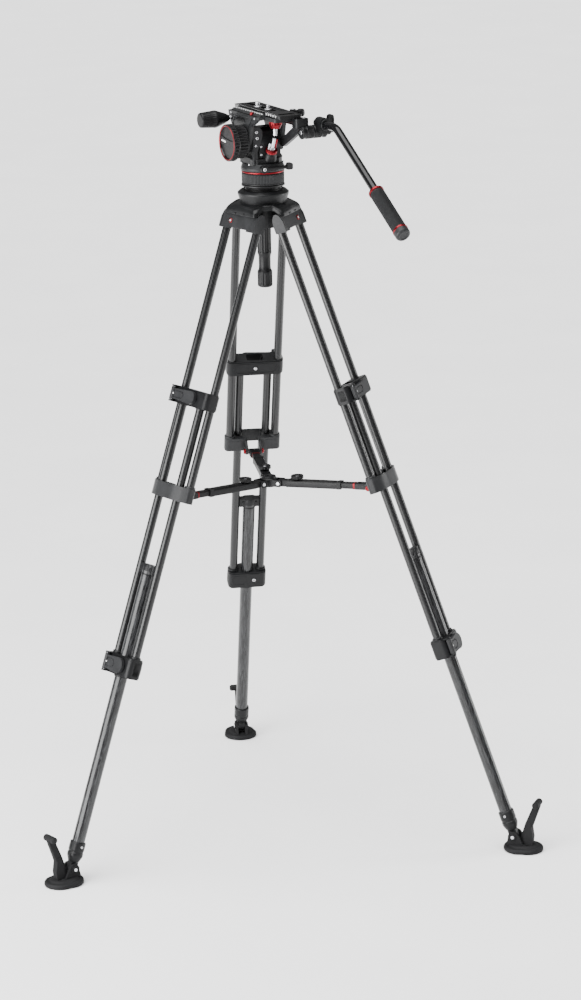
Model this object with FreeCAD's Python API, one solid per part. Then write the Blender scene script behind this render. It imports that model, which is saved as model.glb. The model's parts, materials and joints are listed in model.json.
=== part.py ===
import FreeCAD, Part
import math
import os

# Twin-tube video tripod with a fluid head. All lengths in millimetres, angles in degrees.
# The pan axis is vertical; the back leg points along +Y; the floor is at z = 0.

# ---- whole tripod ----
SHIFT_X, SHIFT_Y = 0.0, -71.6        # moves the pan axis so that the bounding box is centred
LEGS = {"back": 90.0, "left": 210.0, "right": 330.0}
SPLAY = 20.28                      # leg angle from the vertical
HINGE_R, HINGE_Z = 52.0, 1284.0    # shoulder hinge, from the pan axis and from the floor

# ---- leg, measured along the leg from the shoulder hinge ----
OUTER_HALF, INNER_HALF = 47.5, 29.0    # tube spacing / 2
OUTER_Y, INNER_Y = -4.0, 6.4           # tube planes, outward from the hinge line
TUBE_R, LOWER_R = 8.5, 13.0
FIT = 0.05                             # running clearance
SHOULDER_BOTTOM = 26.0
UPPER_CLAMP = (354.0, 388.0)
MIDDLE_COLLAR = (546.0, 576.0)
GUIDE = (713.0, 733.0)
LOWER_CLAMP = (902.0, 942.0)
SOCKET_TOP = 1286.0
FOOT_PIVOT_Z = 28.0
FOOT_T = (HINGE_Z + INNER_Y * math.sin(math.radians(SPLAY)) - FOOT_PIVOT_Z) / math.cos(math.radians(SPLAY))
UPPER_FACE, LOWER_FACE = 21.0, 24.4    # outer faces of the two clamps, from the hinge line
UPPER_PIN_X, LOWER_PIN_X = 44.0, 31.0  # flip lever pins, sideways

# ---- spreader ----
PIVOT_T, PIVOT_IN = 568.0, 30.0        # arm pivot on a leg: along the leg, and inward of the hinge line
HUB_R, HUB_Z = 24.0, 733.0             # arm pivots on the hub

# ---- bowl ----
BALL_Z, BALL_R = 1335.0, 37.5
RIM_Z = 1331.0

# ---- head ----
HEAD_TURN = 18.0                       # the lens direction is +Y of the head turned by this
TILT_Z = 1435.0
PLATE_TOP = 1500.0
ROSETTE_Y, ROSETTE_Z = -134.0, 1465.0  # pan bar pivot
BAR_X, BAR_RISE = 60.0, 15.0           # pan bar: sideways, and above its pivot
BALANCE_Y, BALANCE_Z = 50.0, 1476.0    # counterbalance knob axis
SCREWS_Y = (-28.0, 18.0)               # camera screws along the plate

V = FreeCAD.Vector
X, Y, Z = V(1, 0, 0), V(0, 1, 0), V(0, 0, 1)
PARTS = {}


def box(x0, x1, y0, y1, z0, z1, round_r=0.0, along=None):
    """A box between two corners, with the edges along one axis rounded."""
    s = Part.makeBox(x1 - x0, y1 - y0, z1 - z0, V(x0, y0, z0))
    if round_r:
        axis = {"x": X, "y": Y, "z": Z}[along]
        pick = [e for e in s.Edges if abs(abs(e.tangentAt(e.FirstParameter).dot(axis)) - 1) < 1e-6]
        s = s.makeFillet(round_r, pick)
    return s


def cyl(r, start, axis, length):
    return Part.makeCylinder(r, length, V(*start), axis)


def cone(r0, r1, start, axis, length):
    return Part.makeCone(r0, r1, length, V(*start), axis)


def ring(r_out, r_in, start, axis, length):
    return cyl(r_out, start, axis, length).cut(cyl(r_in, start, axis, length))


def revolve(profile):
    """Turns a closed (radius, height) profile about the vertical axis."""
    pts = [V(r, 0, h) for r, h in profile]
    return Part.Face(Part.makePolygon(pts + [pts[0]])).revolve(V(0, 0, 0), Z, 360)


def prism(points, plane, a, b):
    """Extrudes a polygon drawn in one plane from a to b along the third axis."""
    put = {"yz": lambda u, v: V(a, u, v), "xz": lambda u, v: V(u, a, v), "xy": lambda u, v: V(u, v, a)}[plane]
    way = {"yz": X, "xz": Y, "xy": Z}[plane]
    pts = [put(u, v) for u, v in points]
    return Part.Face(Part.makePolygon(pts + [pts[0]])).extrude(way * (b - a))


def ribs(shape, count, pitch_r, groove_r, start, axis, length):
    """Cuts evenly spaced round grooves along a knob's side."""
    side = X if abs(axis.x) < 0.5 else Y
    cuts = []
    for i in range(count):
        g = cyl(groove_r, (0, 0, 0), axis, length)
        g.translate(V(*start) + side * pitch_r)
        g.rotate(V(*start), axis, 360.0 * i / count)
        cuts.append(g)
    return shape.cut(cuts)


def fuse(*shapes):
    return shapes[0].multiFuse(list(shapes[1:])).removeSplitter()


def save(node, shapes, placement=None):
    """Keeps one node; several solids stay separate."""
    shapes = shapes if isinstance(shapes, list) else [shapes]
    s = shapes[0] if len(shapes) == 1 else Part.makeCompound(shapes)
    if placement:
        s = s.transformed(placement.toMatrix())
    s.translate(V(SHIFT_X, SHIFT_Y, 0))
    PARTS[node] = s


# ---------------------------------------------------------------- spider and bowl
def spider():
    """Bowl, the flared canopy over the shoulders and three hinge lugs; the canopy is arched between the legs."""
    body = revolve([(0, 1331), (41, 1337), (45, 1336), (51.5, RIM_Z), (47, 1313), (45.5, 1311), (62, 1306.5),
                    (71, 1301.5), (76, 1296), (78, 1292), (75, 1291.7), (70, 1297), (58, 1302), (40, 1305), (38, 1300), (38, 1262), (33, 1262),
                    (33, 1290), (0, 1290)])
    for az in LEGS.values():
        side = box(-90, 90, 67, 90, 1280, 1310)
        side.rotate(V(0, 0, 0), Z, az - 90)
        body = body.cut(side)
        arch = cyl(24, (0, 34, 1276), Y, 60)
        arch.rotate(V(0, 0, 0), Z, az + 90)
        lug = fuse(box(-18, 18, 35, HINGE_R, HINGE_Z - 8.5, HINGE_Z + 8.5), cyl(8.5, (-18, HINGE_R, HINGE_Z), X, 36))
        lug.rotate(V(0, 0, 0), Z, az - 90)
        body = body.cut(arch.cut(cyl(39, (0, 0, 1240), Z, 80))).fuse(lug)
    body = body.cut(Part.makeSphere(BALL_R + FIT, V(0, 0, BALL_Z)))
    body = body.cut(cyl(14.5, (0, 0, 1280), Z, 40))
    under = cyl(33, (0, 0, 1285), Z, 30).cut(Part.makeSphere(45.5, V(0, 0, BALL_Z)))
    body = body.cut(under)
    for az in LEGS.values():
        bore = cyl(5 + FIT, (-30, HINGE_R, HINGE_Z), X, 60)
        bore.rotate(V(0, 0, 0), Z, az - 90)
        body = body.cut(bore)
    return body.removeSplitter()


def half_ball():
    ball = Part.makeSphere(BALL_R, V(0, 0, BALL_Z)).cut(box(-60, 60, -60, 60, BALL_Z, 1400))
    upper = revolve([(0, BALL_Z), (BALL_R, BALL_Z), (34, 1343), (40, 1343.5), (43.5, 1345), (43.5, 1348),
                     (30, 1348), (30, 1371.5), (15, 1371.5), (15, 1386), (0, 1386)])
    s = fuse(ball, upper)
    return s.cut(cyl(5 + FIT, (0, 0, 1290), Z, 32))


def tie_down_knob():
    dish = cyl(19, (0, 0, 1283), Z, 14).cut(Part.makeSphere(45.9, V(0, 0, BALL_Z)))
    grip = revolve([(0, 1138), (12, 1138), (15, 1141), (15, 1170), (12, 1173), (12, 1203), (14, 1205), (14, 1284),
                    (0, 1284)])
    return fuse(dish, grip, cyl(5, (0, 0, 1280), Z, 38))


# ---------------------------------------------------------------- legs
def tube(r, wall, x, y, top, bottom):
    """A vertical tube of a leg, from one distance below the hinge to another."""
    return ring(r, r - wall, (x, y, -bottom), Z, bottom - top)


def shoulder():
    """Face plate with raised end flanges, tube sockets, and hinge ears with their pin."""
    plate = prism([(-60, -SHOULDER_BOTTOM - 2), (-30, -SHOULDER_BOTTOM + 3), (30, -SHOULDER_BOTTOM + 3),
                   (60, -SHOULDER_BOTTOM - 2), (57, -6), (44, 2), (-44, 2), (-57, -6)], "xz", 5, 13)
    parts = [plate, box(-46, 46, -6, 6, -24, -14)]
    for side in (-1, 1):
        x = side * OUTER_HALF
        parts.append(cyl(10.8, (x, OUTER_Y, -SHOULDER_BOTTOM), Z, SHOULDER_BOTTOM - 5))
        a, b = sorted((side * 52, side * 58.6))
        parts.append(prism([(10, -SHOULDER_BOTTOM - 0.5), (10, -6), (2, 5), (-10, 8), (-13, -4),
                            (-13, -SHOULDER_BOTTOM - 0.5)], "yz", a, b))
        a, b = sorted((side * 18.5, side * 30))
        parts.append(cyl(8, (a, 0, 0), X, b - a))
        parts.append(box(a, b, -7, 7, -20, 0))
    s = fuse(*parts)
    s = s.cut(box(-18.4, 18.4, -30, 9.6, -13, 40))
    pin = cyl(4.5, (-29, 0, 0), X, 58)
    s = s.cut(pin)
    for side in (-1, 1):
        s = s.cut(cyl(TUBE_R, (side * OUTER_HALF, OUTER_Y, -SHOULDER_BOTTOM - 3), Z, 20))
    return [s, pin]


def outer_tubes():
    return [tube(TUBE_R, 1.5, s * OUTER_HALF, OUTER_Y, SHOULDER_BOTTOM - 17, MIDDLE_COLLAR[1] - 4) for s in (-1, 1)]


def inner_tubes():
    return [tube(TUBE_R, 1.5, s * INNER_HALF, INNER_Y, UPPER_CLAMP[0] + 6, LOWER_CLAMP[1] - 6) for s in (-1, 1)]


def middle_collar():
    """Collar of the outer tubes; the fork for the spreader arm is open, and the wall behind it is notched."""
    t0, t1 = MIDDLE_COLLAR
    h = t1 - t0
    s = box(-59, 59, -15.5, 24, -t1, -t0, 11, "z")
    slot = fuse(box(-INNER_HALF, INNER_HALF, INNER_Y - 9.2, INNER_Y + 9.2, -t1 - 1, -t0 + 1),
                box(-20, 20, INNER_Y - 13.6, INNER_Y + 13.6, -t1 - 1, -t0 + 1),
                *[cyl(9.2, (k * INNER_HALF, INNER_Y, -t1 - 1), Z, h + 2) for k in (-1, 1)])
    s = s.cut(slot)
    for k in (-1, 1):
        s = s.cut(cyl(TUBE_R, (k * OUTER_HALF, OUTER_Y, -t1 + 4), Z, h))
    ears = []
    for k in (-1, 1):
        a, b = sorted((k * 11.4, k * 17.0))
        ear = prism([(-13, -t0 - 4), (-13, -t1), (-PIVOT_IN + 4, -PIVOT_T - 8), (-PIVOT_IN - 5, -PIVOT_T - 7),
                     (-PIVOT_IN - 8, -PIVOT_T), (-PIVOT_IN - 4, -PIVOT_T + 8)], "yz", a, b)
        ears.append(ear)
        ears.append(cyl(5.5, (min(k * 17, k * 21), -PIVOT_IN, -PIVOT_T), X, 4))
    notch = box(-11.3, 11.3, -16, INNER_Y - 13, -t1 - 1, -t0 + 1)
    return fuse(s.cut(notch), *ears)


def lever_seat(clamp, mid, face_y, pin_x, half_h):
    """Adds the two lugs and the pin that a flip lever turns on, at one end of a clamp's outer face."""
    for k in (-1, 1):
        a, b = sorted((mid + k * (half_h - 3.2), mid + k * (half_h - 0.2)))
        clamp = clamp.fuse(box(pin_x - 6, pin_x + 6, face_y - 3, face_y + 10, a, b, 3, "z"))
    return clamp.fuse(cyl(2.5, (pin_x, face_y + 5.5, mid - half_h + 1), Z, 2 * half_h - 2))


def flip_lever(mid, face_y, pin_x, half_h, reach):
    """A D-shaped lever lying across a clamp; it turns on a pin parallel to the leg."""
    h = half_h - 3.6
    end_x = pin_x - reach
    plate = fuse(box(end_x + h, pin_x, face_y + 1.5, face_y + 10.5, mid - h, mid + h),
                 cyl(h, (end_x + h, face_y + 1.5, mid), Y, 9))
    s = fuse(plate, cyl(5, (pin_x, face_y + 5.5, mid - h), Z, 2 * h))
    s = s.cut(box(pin_x, pin_x + 9, face_y, face_y + 12, mid - h, mid + h).cut(
        cyl(5, (pin_x, face_y + 5.5, mid - h), Z, 2 * h)))
    return s.cut(cyl(2.5 + FIT, (pin_x, face_y + 5.5, mid - h - 1), Z, 2 * h + 2)).removeSplitter()


def upper_clamp():
    t0, t1 = UPPER_CLAMP
    s = box(-59, 59, -15.0, UPPER_FACE, -t1, -t0, 11, "z")
    for k in (-1, 1):
        s = s.cut(cyl(TUBE_R + FIT, (k * OUTER_HALF, OUTER_Y, -t1 - 1), Z, t1 - t0 + 2))
        s = s.cut(cyl(TUBE_R, (k * INNER_HALF, INNER_Y, -t1), Z, t1 - t0 - 6))
    s = s.cut(box(-18, 18, -10, 15, -t1 - 1, -t0 - 8))
    return lever_seat(s, -(t0 + t1) / 2, UPPER_FACE, UPPER_PIN_X, (t1 - t0) / 2).removeSplitter()


def upper_lever():
    t0, t1 = UPPER_CLAMP
    return flip_lever(-(t0 + t1) / 2, UPPER_FACE, UPPER_PIN_X, (t1 - t0) / 2, 72)


def lower_clamp():
    t0, t1 = LOWER_CLAMP
    s = box(-41, 41, INNER_Y - 17.5, LOWER_FACE, -t1, -t0, 11, "z")
    s = s.cut(cyl(LOWER_R + FIT, (0, INNER_Y, -t1 - 1), Z, t1 - t0 + 2))
    for k in (-1, 1):
        s = s.cut(cyl(TUBE_R, (k * INNER_HALF, INNER_Y, -t1 + 6), Z, t1 - t0))
    return lever_seat(s, -(t0 + t1) / 2, LOWER_FACE, LOWER_PIN_X, (t1 - t0) / 2).removeSplitter()


def lower_lever():
    t0, t1 = LOWER_CLAMP
    return flip_lever(-(t0 + t1) / 2, LOWER_FACE, LOWER_PIN_X, (t1 - t0) / 2, 56)


def lower_leg():
    """The single lower tube, the guide that runs between the inner tubes, and the foot socket."""
    t = ring(LOWER_R, LOWER_R - 2, (0, INNER_Y, -SOCKET_TOP - 14), Z, SOCKET_TOP + 14 - GUIDE[1] + 6)
    g = box(-INNER_HALF + 4, INNER_HALF - 4, INNER_Y - 7, INNER_Y + 7, -GUIDE[1], -GUIDE[0], 3, "z")
    g = g.fuse(cyl(LOWER_R, (0, INNER_Y, -GUIDE[1]), Z, GUIDE[1] - GUIDE[0]))
    for k in (-1, 1):
        g = g.cut(cyl(TUBE_R + FIT, (k * INNER_HALF, INNER_Y, -GUIDE[1] - 1), Z, 30))
    g = g.cut(cyl(LOWER_R, (0, INNER_Y, -GUIDE[1] - 1), Z, 7))
    s = fuse(cyl(16, (0, INNER_Y, -SOCKET_TOP - 30), Z, 30), cone(11, 16, (0, INNER_Y, -SOCKET_TOP - 42), Z, 12),
             box(-7, 7, INNER_Y - 9, INNER_Y + 9, -FOOT_T, -SOCKET_TOP - 36), cyl(9, (-7, INNER_Y, -FOOT_T), X, 14))
    s = s.cut(cyl(LOWER_R, (0, INNER_Y, -SOCKET_TOP - 14), Z, 20))
    s = s.cut(cyl(4 + FIT, (-12, INNER_Y, -FOOT_T), X, 24))
    return [t, g.removeSplitter(), s.removeSplitter()]


def rubber_foot():
    """Pad, two struts with the pivot pin, and the raised grip. Drawn with the pivot at y = 0, z = 28."""
    pad = fuse(cyl(36, (0, 14, 0), Z, 13), cyl(33, (0, 27, 0), Z, 13))
    pad = pad.makeFillet(3, [e for e in pad.Edges if e.BoundBox.ZMin > 12.9])
    p = FOOT_PIVOT_Z
    struts = []
    for k in (-1, 1):
        a, b = sorted((k * 7.4, k * 13.4))
        struts.append(prism([(-15, 8), (22, 8), (12, 34), (5, p + 11), (-6, p + 11), (-10, 32)], "yz", a, b))
    grip_arm = prism([(16, 8), (30, 8), (48, 72), (39, 76)], "yz", -6, 6)
    grip = cyl(7, (-17, 43.5, 76), X, 34)
    return fuse(pad, *struts, grip_arm, grip, cyl(4, (-10, 0, p), X, 20))


# ---------------------------------------------------------------- spreader
def pivot_on_leg():
    a = math.radians(SPLAY)
    return (HINGE_R + PIVOT_T * math.sin(a) - PIVOT_IN * math.cos(a),
            HINGE_Z - PIVOT_T * math.cos(a) - PIVOT_IN * math.sin(a))


def spreader_hub():
    s = fuse(cyl(16.5, (0, 0, HUB_Z - 9), Z, 18), ring(14, 8, (0, 0, HUB_Z + 9), Z, 4))
    for az in LEGS.values():
        for k in (-1, 1):
            a, b = sorted((k * 9.4, k * 13.4))
            ear = fuse(box(a, b, 6, HUB_R, HUB_Z - 7, HUB_Z + 7), cyl(7, (a, HUB_R, HUB_Z), X, b - a))
            ear.rotate(V(0, 0, 0), Z, az - 90)
            s = s.fuse(ear)
        pin = cyl(3, (-12, HUB_R, HUB_Z), X, 24)
        pin.rotate(V(0, 0, 0), Z, az - 90)
        s = s.fuse(pin)
    return s.cut(cyl(5, (0, 0, HUB_Z - 20), Z, 40)).removeSplitter()


def spreader_arm():
    """Channel and the bar inside it, along +Y from the hub pivot; local origin at the hub pivot."""
    r_leg, z_leg = pivot_on_leg()
    length = math.hypot(r_leg - HUB_R, z_leg - HUB_Z)
    ch = fuse(box(-9, 9, 0, 20, -6.5, 6.5), cyl(6.5, (-9, 0, 0), X, 18), box(-11, 11, 15, length - 62, -8, 8, 3, "y"))
    ch = ch.cut(box(-7.0, 7.0, 22, length, -5, 5))
    ch = ch.cut(cyl(3 + FIT, (-12, 0, 0), X, 24))
    bar = fuse(box(-7.0, 7.0, 30, length - 6, -5, 5), box(-10.4, 10.4, length - 30, length, -6, 6),
               cyl(6, (-10.4, length, 0), X, 20.8))
    return [ch.removeSplitter(), bar.removeSplitter()], math.degrees(math.atan2(z_leg - HUB_Z, r_leg - HUB_R))


def spreader_knob():
    """Dished lock knob standing on a channel; local origin at the hub pivot."""
    s = fuse(cyl(5, (0, 38, 8), Z, 3), cyl(13, (0, 38, 9.5), Z, 7.5))
    s = s.cut(cone(6, 10, (0, 38, 14), Z, 3))
    return ribs(s, 12, 14.0, 2.0, (0, 38, 9), Z, 9)


# ---------------------------------------------------------------- head, drawn with the lens towards +Y
def pan_drag_ring():
    s = ring(42.5, 30 + FIT, (0, 0, 1348.4), Z, 23.0)
    return ribs(s, 40, 43.3, 1.7, (0, 0, 1350.4), Z, 18)


def pan_trim_ring():
    return ring(43, 20, (0, 0, 1372), Z, 6)


def pan_body():
    base = revolve([(0, 1378), (44, 1378), (44, 1386), (40, 1391), (0, 1391)])
    block = box(-33.5, 28.5, -24, 34, 1390, 1462, 6, "x")
    s = fuse(base, block, box(-38, 34, -30, 36, 1390, 1402, 8, "z"), cyl(27, (-33.5, 0, TILT_Z), X, 62))
    s = s.cut(cyl(8 + FIT, (-40, 0, TILT_Z), X, 80))
    s = s.cut(cyl(15 + FIT, (0, 0, 1370), Z, 17))
    return s.removeSplitter()


def gas_spring():
    """Lower part of the counterbalance spring: cone, ring and rods, leaning back."""
    d = V(0, -0.47, 0.88).normalize()
    foot = V(8, -24, 1401)

    def at(k):
        p = foot + d * k
        return (p.x, p.y, p.z)
    low = cone(14, 11, at(0), d, 12)
    s = [fuse(low, cyl(10, at(12), d, 3)), cyl(11.5, at(15), d, 7)]
    rod = fuse(cyl(3, at(22), d, 17), cyl(6, at(22), d, 4))
    s.append(rod)
    cutter = fuse(box(-33.6, 28.6, -24, 34, 1390, 1462, 6, "x"), box(-38, 34, -30, 36, 1390, 1402, 8, "z"),
                  cyl(27.2, (-33.5, 0, TILT_Z), X, 62))
    return [k.cut(cutter) for k in s]


def tilt_carriage():
    top = box(-27, 30, -112, 64, 1484, 1492, 5, "z")
    parts = [top]
    for a, b, back in ((-42, -34, -68), (29, 37, -48)):
        cheek = prism([(-24, TILT_Z - 4), (-16, TILT_Z - 22), (16, TILT_Z - 22), (28, TILT_Z - 2), (62, 1478),
                       (66, 1491), (back, 1491), (back + 8, 1482), (-34, 1468)], "yz", a, b)
        parts.append(cheek)
        parts.append(box(min(a, -20) if a < 0 else 20, -20 if a < 0 else b, back, 62, 1485, 1491))
    parts.append(prism([(-18, TILT_Z - 12), (-34, TILT_Z - 12), (-112, 1464), (-112, 1481), (-98, 1481), (-86, 1472),
                        (-30, 1440)], "yz", 29, 37))
    parts.append(cyl(9, (-42, BALANCE_Y, BALANCE_Z), X, 8))
    parts.append(cyl(8, (-42, 0, TILT_Z), X, 79))
    for a, b in ((-31, -26.2), (26.2, 31)):
        parts.append(box(a, b, -70, 50, 1488, 1498))
    s = fuse(*parts).cut(cyl(4.3, (-36.5, -30, 1486), Z, 6))
    return s.cut([cyl(6, (0, y, 1480), Z, 20) for y in (-90, 30)])


def spring_seat():
    """Upper seat of the counterbalance spring, under the rear of the carriage."""
    return fuse(cone(9, 13.4, (8, -50, 1463), Z, 8), cyl(13.4, (8, -50, 1471), Z, 13), cyl(4.5, (8, -48, 1456), Z, 8))


def tilt_drag_dial():
    s = fuse(cyl(33, (-75, 0, TILT_Z), X, 33 - 0.6), cyl(37, (-79, 0, TILT_Z), X, 14))
    s = s.cut(cyl(30, (-79, 0, TILT_Z), X, 3))
    s = ribs(s, 30, 38.4, 2.2, (-74, 0, TILT_Z), X, 10)
    return ribs(s, 24, 33.8, 1.6, (-64, 0, TILT_Z), X, 20)


def tilt_lock_lever():
    s = fuse(cyl(11, (37.4, 0, TILT_Z), X, 9), box(40, 46, -5, 38, TILT_Z - 5, TILT_Z + 5, 3, "x"),
             cyl(5.5, (39, 37.5, TILT_Z), X, 12))
    return s


def counterbalance_knob():
    x, y, z = -116, BALANCE_Y, BALANCE_Z
    s = fuse(cone(15, 17.5, (x, y, z), X, 38), cone(17.5, 6, (x + 38, y, z), X, 29), cyl(4, (x + 66, y, z), X, 7.5))
    return s.makeFillet(2.5, [e for e in s.Edges if e.BoundBox.XMax < x + 0.1])


def camera_plate():
    s = prism([(-24, 1492.3), (24, 1492.3), (25.5, 1495), (25.5, PLATE_TOP), (-25.5, PLATE_TOP), (-25.5, 1495)],
              "xz", -127, 73)
    s = s.cut(box(-5.5, 5.5, -60, 60, 1490, 1502, 5.4, "z"))
    s = s.cut(box(-19, 19, -120, -100, 1498, 1501)).cut(box(-19, 19, 60, 68, 1498, 1501))
    s = s.cut([cyl(9.4, (0, y, PLATE_TOP - 1.6), Z, 3) for y in SCREWS_Y])
    return s.removeSplitter()


def camera_screw(y, r, head_r):
    """Camera screw standing in the plate's slot."""
    return fuse(cyl(r, (0, y, PLATE_TOP - 1), Z, 9), cyl(head_r, (0, y, PLATE_TOP - 1.6), Z, 1.4),
                cyl(3.6, (0, y, 1494), Z, 5))


def plate_lock_lever():
    s = fuse(cyl(6.5, (39, -60, 1480), Z, 20), box(34, 44, -94, -60, 1492, 1501, 3, "z"),
             cyl(7, (39, -94, 1490), Z, 15))
    return s


def safety_button():
    return cyl(4, (-36.5, -30, 1489.5), Z, 7)


def pan_lock_lever():
    s = fuse(cyl(8, (-22, -44.5, 1384), V(0, -1, 0), 10), box(-22, 34, -53, -47, 1380, 1389, 3, "y"),
             box(28, 40, -55, -45, 1379, 1393, 3, "y"))
    return s.cut(cyl(44.5, (0, 0, 1370), Z, 30))


def rear_bracket():
    """Bracket behind the carriage with the toothed disc that the pan bar clamps against."""
    s = fuse(box(8, 36, -136, -112, 1474, 1492, 4, "z"), box(14, 28, -130, -64, 1476, 1484),
             cyl(13.2, (18, ROSETTE_Y, ROSETTE_Z), X, 26))
    s = s.cut(cyl(5, (40, ROSETTE_Y, ROSETTE_Z), X, 10))
    return s


def pan_bar_clamp():
    s = fuse(cyl(13.2, (44.4, ROSETTE_Y, ROSETTE_Z), X, 27), box(49, 71, ROSETTE_Y - 24, ROSETTE_Y + 4,
             ROSETTE_Z - 2, ROSETTE_Z + 28, 4, "x"))
    s = s.cut(cyl(8.2, (BAR_X, ROSETTE_Y - 40, ROSETTE_Z + BAR_RISE), Y, 60))
    return s


def bar_points():
    """Bar centre line: a short level run, a bend, then the long run down to the rear."""
    fall = math.radians(32.0)
    run = V(0, -math.cos(fall), -math.sin(fall))
    level = V(0, -1, 0)
    start = V(BAR_X, ROSETTE_Y + 12, ROSETTE_Z + BAR_RISE)
    bend_r = 45.0
    t = bend_r * math.tan(fall / 2)
    corner = V(BAR_X, -203.0, ROSETTE_Z + BAR_RISE)
    return start, corner - level * t, corner + run * t, run, corner, level


def pan_bar_tube():
    start, b0, b1, run, corner, level = bar_points()
    mid_dir = (level * -1 + run).normalize()
    half = math.radians(16.0)
    sag = 45.0 / math.cos(half) - 45.0
    mid = corner + mid_dir * sag
    end = corner + run * 205.0
    path = Part.Wire([Part.makeLine(start, b0), Part.Arc(b0, mid, b1).toShape(), Part.makeLine(b1, end)])
    prof = Part.Wire([Part.makeCircle(8.15, start, level)])
    return path.makePipeShell([prof], True, False)


def pan_bar_grip():
    _, _, _, run, corner, _ = bar_points()

    def piece(r, a, b):
        p = corner + run * a
        return cyl(r, (p.x, p.y, p.z), run, b - a)
    body = piece(14.5, 196, 312)
    s = fuse(body, piece(13, 190, 200), piece(15.4, 188, 194), piece(15.4, 300, 305), piece(14.8, 305, 318))
    return s.cut(piece(8.15, 180, 205.0))


def wing_knob():
    s = fuse(cyl(9, (71.8, ROSETTE_Y, ROSETTE_Z), X, 10), box(76, 90, ROSETTE_Y - 4.5, ROSETTE_Y + 4.5,
             ROSETTE_Z - 5, ROSETTE_Z + 31, 4, "x"))
    return s


def main():
    os.makedirs("parts", exist_ok=True)
    save("spider", spider())
    save("half_ball", half_ball())
    save("tie_down_knob", tie_down_knob())
    arm, rise = spreader_arm()
    for name, az in LEGS.items():
        turn = FreeCAD.Placement(V(0, 0, 0), FreeCAD.Rotation(Z, az - 90))
        leg = turn * FreeCAD.Placement(V(0, HINGE_R, HINGE_Z), FreeCAD.Rotation(X, SPLAY))
        for part in (shoulder, outer_tubes, middle_collar, upper_clamp, upper_lever, inner_tubes, lower_clamp,
                     lower_lever, lower_leg):
            save("%s_%s" % (name, part.__name__), part(), leg)
        foot = leg.multVec(V(0, INNER_Y, -FOOT_T))
        save(name + "_rubber_foot", rubber_foot(),
             FreeCAD.Placement(V(foot.x, foot.y, foot.z - FOOT_PIVOT_Z), turn.Rotation))
        spoke = turn * FreeCAD.Placement(V(0, HUB_R, HUB_Z), FreeCAD.Rotation(X, rise))
        save(name + "_spreader_arm", arm, spoke)
        save(name + "_spreader_knob", spreader_knob(), spoke)
    save("spreader_hub", spreader_hub())
    head = FreeCAD.Placement(V(0, 0, 0), FreeCAD.Rotation(Z, HEAD_TURN))
    for part in (pan_drag_ring, pan_trim_ring, pan_body, gas_spring, tilt_carriage, spring_seat, tilt_drag_dial,
                 tilt_lock_lever, counterbalance_knob, camera_plate, plate_lock_lever, safety_button,
                 pan_lock_lever, rear_bracket, pan_bar_clamp, pan_bar_tube, pan_bar_grip, wing_knob):
        save(part.__name__, part(), head)
    save("camera_screw", [camera_screw(SCREWS_Y[0], 3.175, 8), camera_screw(SCREWS_Y[1], 4.76, 9)], head)
    for name, shape in PARTS.items():
        shape.exportStep("parts/%s.step" % name)
    print(len(PARTS), "nodes")


main()
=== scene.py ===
"""Looks of a twin-tube video tripod with a fluid head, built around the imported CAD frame."""
import json
import math

import bmesh
import bpy
from mathutils import Matrix, Vector
from mathutils.geometry import tessellate_polygon


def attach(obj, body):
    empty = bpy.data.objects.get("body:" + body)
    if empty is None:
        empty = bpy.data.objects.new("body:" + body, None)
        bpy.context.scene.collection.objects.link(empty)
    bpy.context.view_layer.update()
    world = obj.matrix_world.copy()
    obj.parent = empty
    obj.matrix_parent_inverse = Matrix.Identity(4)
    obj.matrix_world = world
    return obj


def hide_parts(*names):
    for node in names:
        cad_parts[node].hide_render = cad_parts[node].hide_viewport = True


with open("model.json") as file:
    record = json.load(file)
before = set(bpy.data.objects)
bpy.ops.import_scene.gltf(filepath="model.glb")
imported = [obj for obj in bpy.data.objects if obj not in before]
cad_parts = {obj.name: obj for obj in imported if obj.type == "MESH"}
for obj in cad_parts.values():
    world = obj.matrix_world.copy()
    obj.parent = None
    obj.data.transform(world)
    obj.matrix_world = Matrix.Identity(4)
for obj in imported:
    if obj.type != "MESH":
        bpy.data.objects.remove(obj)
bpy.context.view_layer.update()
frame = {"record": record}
joints = {j["name"]: j for j in frame["record"]["behaviour"]["joints"]}
MM = 0.001
LEGS = ("back", "left", "right")
pi, sin, cos = math.pi, math.sin, math.cos


# ---------------------------------------------------------------- local frames, taken from the joints
def axes(origin, x, z):
    """A frame at the origin from its x and z directions."""
    x, z = Vector(x).normalized(), Vector(z).normalized()
    m = Matrix((x, z.cross(x), z)).transposed().to_4x4()
    m.translation = Vector(origin)
    return m


def flat(v):
    return Vector((v[0], v[1], 0))


UP = Vector((0, 0, 1))
PAN = flat(joints["pan"]["pos_m"])
HEAD = axes(PAN, -Vector(joints["tilt"]["axis"]), UP)
LEG, SPOKE, ARM, FOOT = {}, {}, {}, {}
for leg in LEGS:
    fold, swing = joints[leg + "_leg_fold"], joints[leg + "_arm_swing"]
    LEG[leg] = axes(fold["pos_m"], fold["axis"], -Vector(joints[leg + "_middle_slide"]["axis"]))
    SPOKE[leg] = axes(PAN, fold["axis"], UP)
    ARM[leg] = axes(swing["pos_m"], swing["axis"], joints[leg + "_arm_knob_turn"]["axis"])
    tilt = joints[leg + "_foot_tilt"]
    FOOT[leg] = axes(flat(tilt["pos_m"]), -Vector(tilt["axis"]), UP)


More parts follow.
